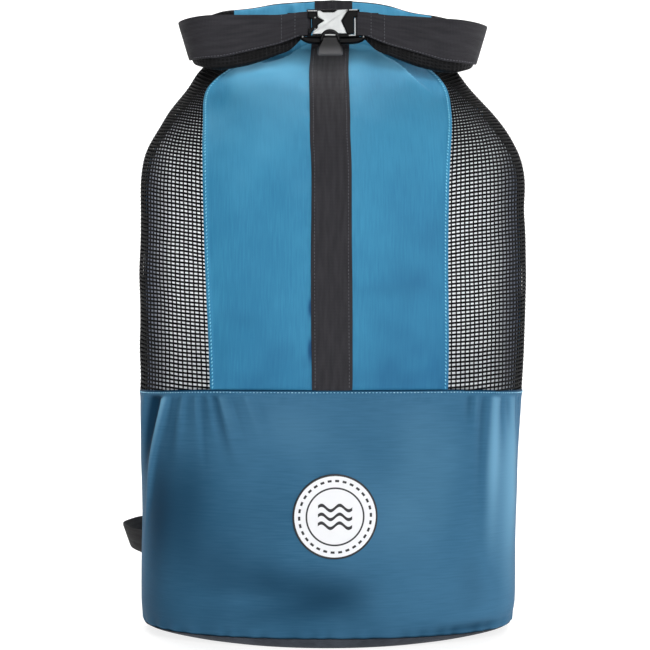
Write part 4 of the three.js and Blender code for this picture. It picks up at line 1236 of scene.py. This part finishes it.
def makeClip():
    face = clip["front"] - 0.3
    plateFront = face - clip["plate"]
    plate = roundedOutline(clip["plateOutline"], 0.8)
    lug = clipBox(clip["pull"] - 5.4, clip["pull"] + 5.4, 604.1, 605.5, clip["pullFront"] + 0.2, face, 0.4, 0.5)
    pin = clipBox(21.2, 22.9, 604.6, 622.6, face - 1.2, face + 0.6, 0.5)
    foot = clipBox(15.8, 22.9, 604.5, 605.9, face - 1.2, face + 0.6, 0.4, 0.5)
    # painted highlight: thin pale strips along the top edges of the frame
    highlightStrips = [clipBox(-25.4, -15.8, 629.0, 630.1, plateFront + 0.3, face, 0.3, 0.3),
              clipBox(16, 24.6, 630.1, 631, plateFront + 0.3, face, 0.3, 0.3)]
    rivets = [dome(-18.0, 622.8, 0.9, face - 1.7, 0.5), dome(-18.2, 611.4, 0.8, face - 1.7, 0.5)]
    joinParts("clipPlate", [plateParts(plate, plateFront, face, 0.55), lug, pin, foot, *highlightStrips, *rivets],
              paleMetal, "pale_metal", ("buckle_plate",))
    for side, sign, radius in (("Left", -1, 0.7), ("Right", 1, 0.8)):
        ridge = roundedOutline(clip[side.lower() + "Outline"], radius)
        joinParts("clip" + side, clipHalf(sign) + [plateParts(ridge, plateFront + 0.1, face + 0.2, 0.5)],
                  blackPlastic, "black_plastic", ("buckle_" + side.lower(),))
    bend = np.linspace(-33, 33, 33)
    low = 602.4 - 5.4 * (1 - (bend / 33) ** 6)
    top = 605.4 - 2.2 * (1 - (bend / 33) ** 4)
    bar = np.concatenate([np.column_stack([bend, low]), np.column_stack([bend, top])[::-1]])
    ends = [dome(sign * 30.6, 603.9, 0.9, clip["front"] + 0.2, 0.6) for sign in (-1, 1)]
    joinParts("pullBar", [plateParts(bar, clip["front"], -55.5, 1.3)], blackPlastic, "black_plastic", ("pull_bar",))
    joinParts("pullBarStuds", ends, paleMetal, "pale_metal")
    makePull()


def makePull():
    # a flared finger tab that hangs from a round arch over the plate's lug
    middle, front, rear = clip["pull"], clip["pullFront"], clip["pullRear"]
    side, height = np.array(clip["pullRows"], float).T
    tab = roundedOutline(np.concatenate([
        np.column_stack([middle + side, height]), np.column_stack([middle - side, height])[::-1]]), 2.4)
    turn = np.linspace(-0.12, math.pi + 0.12, 25)
    depth = np.full(25, (front + rear) / 2)
    arch = np.column_stack([middle + 8.35 * np.cos(turn), depth, 600.4 + 8.6 * np.sin(turn)])
    fill = np.column_stack([arch[:, 0], arch[:, 2]])
    shapes = [plateParts(tab, front, rear, 1.6), plateParts(fill, front + 1.4, rear, 0.4), tubeParts(arch, 1.9)]
    joinParts("pullTab", shapes, blackRubber, "black_rubber", ("pull_tab",))


makeClip()
print("clip made")


# Base: a flat floor of coarse cloth turned up to the rim

base = {"rim": 9.2, "floor": (150, 116, 107, 2.0), "edge": (191.5, 121, 112, 2.3), "thickness": 2,
        "turnUp": [(0, 0), (0.32, 1.6), (0.62, 4.2), (0.86, 6.8), (0.97, 9.2)]}


def makeBase():
    # rings from the floor's middle out to its edge, then up the turned side, blended between two superellipses
    turn = np.linspace(0, 2 * math.pi, 240, endpoint=False)

    def oval(halfWidth, front, back, square):
        s, c = np.sin(turn), np.cos(turn)
        x = np.sign(s) * np.abs(s) ** (2 / square) * halfWidth
        y = -np.sign(c) * np.abs(c) ** (2 / square) * np.where(c > 0, front, back)
        return np.stack([x, y], -1)

    floor, edge = oval(*base["floor"]), oval(*base["edge"])
    up = np.linspace(0, 1, 14)
    share = np.interp(up, np.linspace(0, 1, 5), [row[0] for row in base["turnUp"]])
    height = np.interp(up, np.linspace(0, 1, 5), [row[1] for row in base["turnUp"]])
    share, height = smoothed(share, 1), smoothed(height, 1)
    flat = [np.column_stack([floor * s, np.zeros(len(turn))]) for s in (0.001, 0.3, 0.6, 0.85, 0.95)]
    wall = [np.column_stack([floor * (1 - s) + edge * s, np.full(len(turn), h)]) for s, h in zip(share, height)]
    outer = np.stack(flat + wall)[:, ::-1]
    shrink = 1 - base["thickness"] / np.maximum(np.linalg.norm(outer[..., :2], axis=-1, keepdims=True), 20)
    inner = np.concatenate([outer[..., :2] * shrink, np.minimum(outer[..., 2:] + base["thickness"], base["rim"])], -1)
    arc = np.linspace(0, 950, outer.shape[1] + 1)[None]
    run = runLength(outer[:, 0])[:, None]
    maps = np.stack(np.broadcast_arrays(arc, run), -1)
    piece = shellPiece("basePanel", outer, inner, maps, [baseCloth], wrap=True, slot="base_cloth",
                       replaces=("base_panel",))
    return piece


makeBase()
print("base made")


# Round patch

patch = {"along": 5, "height": 129.5, "radius": 41, "seat": 0.3, "thickness": 1}


def patchSpot(across, up, offset):
    height, along = patch["height"] + up, patch["along"] + across
    smoothFold = lowerFold(np.full_like(height, patch["height"]), np.full_like(along, patch["along"]))
    return clothPoint(height, along, offset - smoothFold)


def makePatch():
    # rings of a thin disc that follows the cloth, with a rounded rim
    radius = patch["radius"] * np.concatenate([np.linspace(0.002, 0.955, 14), [0.975, 0.99, 1.0, 1.0]])[:, None]
    turn = np.linspace(0, 2 * math.pi, 120, endpoint=False)[None]
    thick = patch["seat"] + patch["thickness"] * np.concatenate([np.ones(14), [0.98, 0.85, 0.5, 0]])[:, None]
    points = patchSpot(radius * np.cos(turn), radius * np.sin(turn), thick + 0 * turn)
    faces = gridFaces(*points.shape[:2], True)
    kinds = np.repeat(np.where(np.arange(len(radius) - 1) >= 13, 1, 0), 120)
    maps = np.stack([radius * np.cos(turn), radius * np.sin(turn)], -1).reshape(-1, 2)
    return makePiece("roundPatch", points, faces[:, ::-1], [patchFace, patchInk], maps[faces[:, ::-1]] * mm, kinds,
                     slot="pale_patch", replaces=("round_patch",))


makePatch()
print("patch made")


# Back straps

shoulder = {
    "rows": [(245, 100, 26), (320, 99, 29), (400, 86, 31), (480, 66, 31), (545, 48, 28)],  # height, aside, half
    "seat": 0.8, "thickness": 9, "edge": 4,
}
webbing = {
    "rows": [  # order, aside, height, slack
        (0, 100, 240, 0), (1, 112, 190, 0), (2, 138, 142, 0.1), (3, 172, 98, 0.5), (4, 204, 93, 0.97),
        (5, 226, 89.5, 0.97), (6, 244, 85.5, 0)],
    "half": 12.5, "seat": 0.9, "tilt": 0.16, "thickness": 1.6,
}


def backSpot(sign, height, aside, offset):
    return clothPoint(height, sign * (halfRound(height) - aside), offset)


def makeShoulder(name, node, sign):
    level = np.linspace(245, 545, 90)[:, None]
    share = edgeCrowded(31)[None]
    aside, half = readTable(shoulder["rows"], level)
    crown = shoulder["seat"] + shoulder["thickness"] - (shoulder["thickness"] - shoulder["edge"]) * share ** 4
    outer = backSpot(sign, level, aside + share * half, crown)
    inner = backSpot(sign, level, aside + share * half, shoulder["seat"] + 0 * crown)
    maps = np.stack(np.broadcast_arrays(share * 29, level), -1)
    piece = shellPiece(name, outer, inner, maps, [padCloth], flip=sign > 0, slot="strap_padding", replaces=(node,))
    return piece


def makeWebbing(name, node, sign, slack, end):
    at = np.linspace(0, end, 120)[:, None]
    share = edgeCrowded(13)[None]
    aside, height, loose = readTable(webbing["rows"], at)
    before, after = readTable(webbing["rows"], at - 0.05), readTable(webbing["rows"], at + 0.05)
    way = unit(np.stack([after[0] - before[0], after[1] - before[1]], -1))
    reach = share * webbing["half"]
    level = height + way[..., 0] * reach
    beside = aside - way[..., 1] * reach
    stand = webbing["seat"] + slack * loose * (1 + webbing["tilt"] * share)
    thin = webbing["thickness"] * (1 - 0.4 * np.abs(share) ** 10)
    outer, inner = backSpot(sign, level, beside, stand + thin), backSpot(sign, level, beside, stand)
    maps = np.stack(np.broadcast_arrays(share * 15, at * 40), -1)
    piece = shellPiece(name, outer, inner, maps, [blackWebbing], flip=sign > 0, slot="black_webbing",
                       replaces=(node,))
    return piece


for name, node, sign in (("shoulderLeft", "shoulder_strap_left", -1), ("shoulderRight", "shoulder_strap_right", 1)):
    makeShoulder(name, node, sign)
makeWebbing("webbingLeft", "strap_webbing_left", -1, 24, 6)
makeWebbing("webbingRight", "strap_webbing_right", 1, 0, 4.6)
print("back straps made")


# Stage, light and camera

stage = {"wide": 4000, "front": -2600, "back": 1500, "bend": 700, "high": 2600}


def stageFinish(wire):
    grain = noise(wire, objectSpot(wire), 3.0)
    return {"Base Color": grain.mix(tone(138, 138, 138), tone(144, 144, 144)),
            "Emission Color": grain.mix(tone(230, 230, 230), tone(234, 234, 234))}


def makeStage():
    # floor and backdrop in one sweep: flat, a quarter circle, then straight up
    turn = np.linspace(0, math.pi / 2, 24)
    bend = stage["back"] + stage["bend"] * np.sin(turn)
    depth = np.concatenate([[stage["front"]], bend, [stage["back"] + stage["bend"]]])
    height = np.concatenate([[0], stage["bend"] * (1 - np.cos(turn)), [stage["high"]]])
    side = np.array([-stage["wide"], stage["wide"]])
    points = np.stack(np.broadcast_arrays(side[None], depth[:, None], height[:, None]), -1)
    mesh = bpy.data.meshes.new("sweep")
    mesh.from_pydata((points.reshape(-1, 3) * mm).tolist(), [], gridFaces(len(depth), 2).tolist())
    mesh.polygons.foreach_set("use_smooth", np.ones(len(mesh.polygons), bool))
    mesh.materials.append(newMaterial("palePaper", stageFinish, {"Roughness": 0.9, "Emission Strength": 1.0}))
    sweep = bpy.data.objects.new("sweep", mesh)
    bpy.context.scene.collection.objects.link(sweep)
    sweep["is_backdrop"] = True


makeStage()


def softLight(name, spot, target, size, power, colour=(1, 1, 1)):
    lamp = bpy.data.lights.new(name, "AREA")
    lamp.shape = "RECTANGLE"
    lamp.size, lamp.size_y = size
    lamp.energy = power
    lamp.color = colour
    holder = bpy.data.objects.new(name, lamp)
    holder.location = spot
    holder.rotation_euler = (Vector(target) - Vector(spot)).to_track_quat("-Z", "Y").to_euler()
    bpy.context.scene.collection.objects.link(holder)


softLight("keyLight", (0.5, -2.2, 1.7), (0, 0, 0.3), (1.0, 1.0), 33)
softLight("headLight", (0.05, -1.75, 0.78), (0, -0.05, 0.5), (0.8, 0.5), 8)
softLight("fillLight", (-1.8, -1.2, 0.6), (0, 0, 0.3), (0.3, 1.2), 0.6)
softLight("rimLight", (1.6, 0.1, 0.25), (0.1, 0, 0.2), (0.5, 1.0), 11)
softLight("topLight", (0, 0.7, 2.3), (0, 0.3, 0.2), (2.4, 1.2), 44)
softLight("backLight", (0, 0.9, 2.0), (0, 2.2, 0.7), (3.0, 0.8), 80)
softLight("liningLight", (0.004, -0.03, 0.38), (0.004, 0.1, 0.38), (0.2, 0.22), 0.32)

world = bpy.data.worlds.new("studio")
world.use_nodes = True
sky = Wire(world.node_tree)
way = sky.node("ShaderNodeTexCoord", {}, {}, out=0)
side = sky.node("ShaderNodeSeparateXYZ", {}, {0: way}, out=0)
glow = side.between(-0.9, 0.5).mix((0.15, 0.15, 0.15, 1), (1, 1, 1, 1))  # dimmer on the left
world.node_tree.links.new(glow.socket, world.node_tree.nodes["Background"].inputs["Color"])
world.node_tree.nodes["Background"].inputs["Strength"].default_value = 0.17
bpy.context.scene.world = world

cameraData = bpy.data.cameras.new("camera")
cameraData.sensor_width = 36
cameraData.lens = 86.9
camera = bpy.data.objects.new("camera", cameraData)
camera.location = (-0.0026, -1.64, 0.314)
camera.rotation_euler = (math.pi / 2, 0, 0)
bpy.context.scene.collection.objects.link(camera)
bpy.context.scene.camera = camera
bpy.context.scene.view_settings.view_transform = "Standard"
print("stage made")

asLists = lambda box: [[float(part) for part in corner] for corner in box]
{"cad": asLists(cadBox), "visual": asLists(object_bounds())}
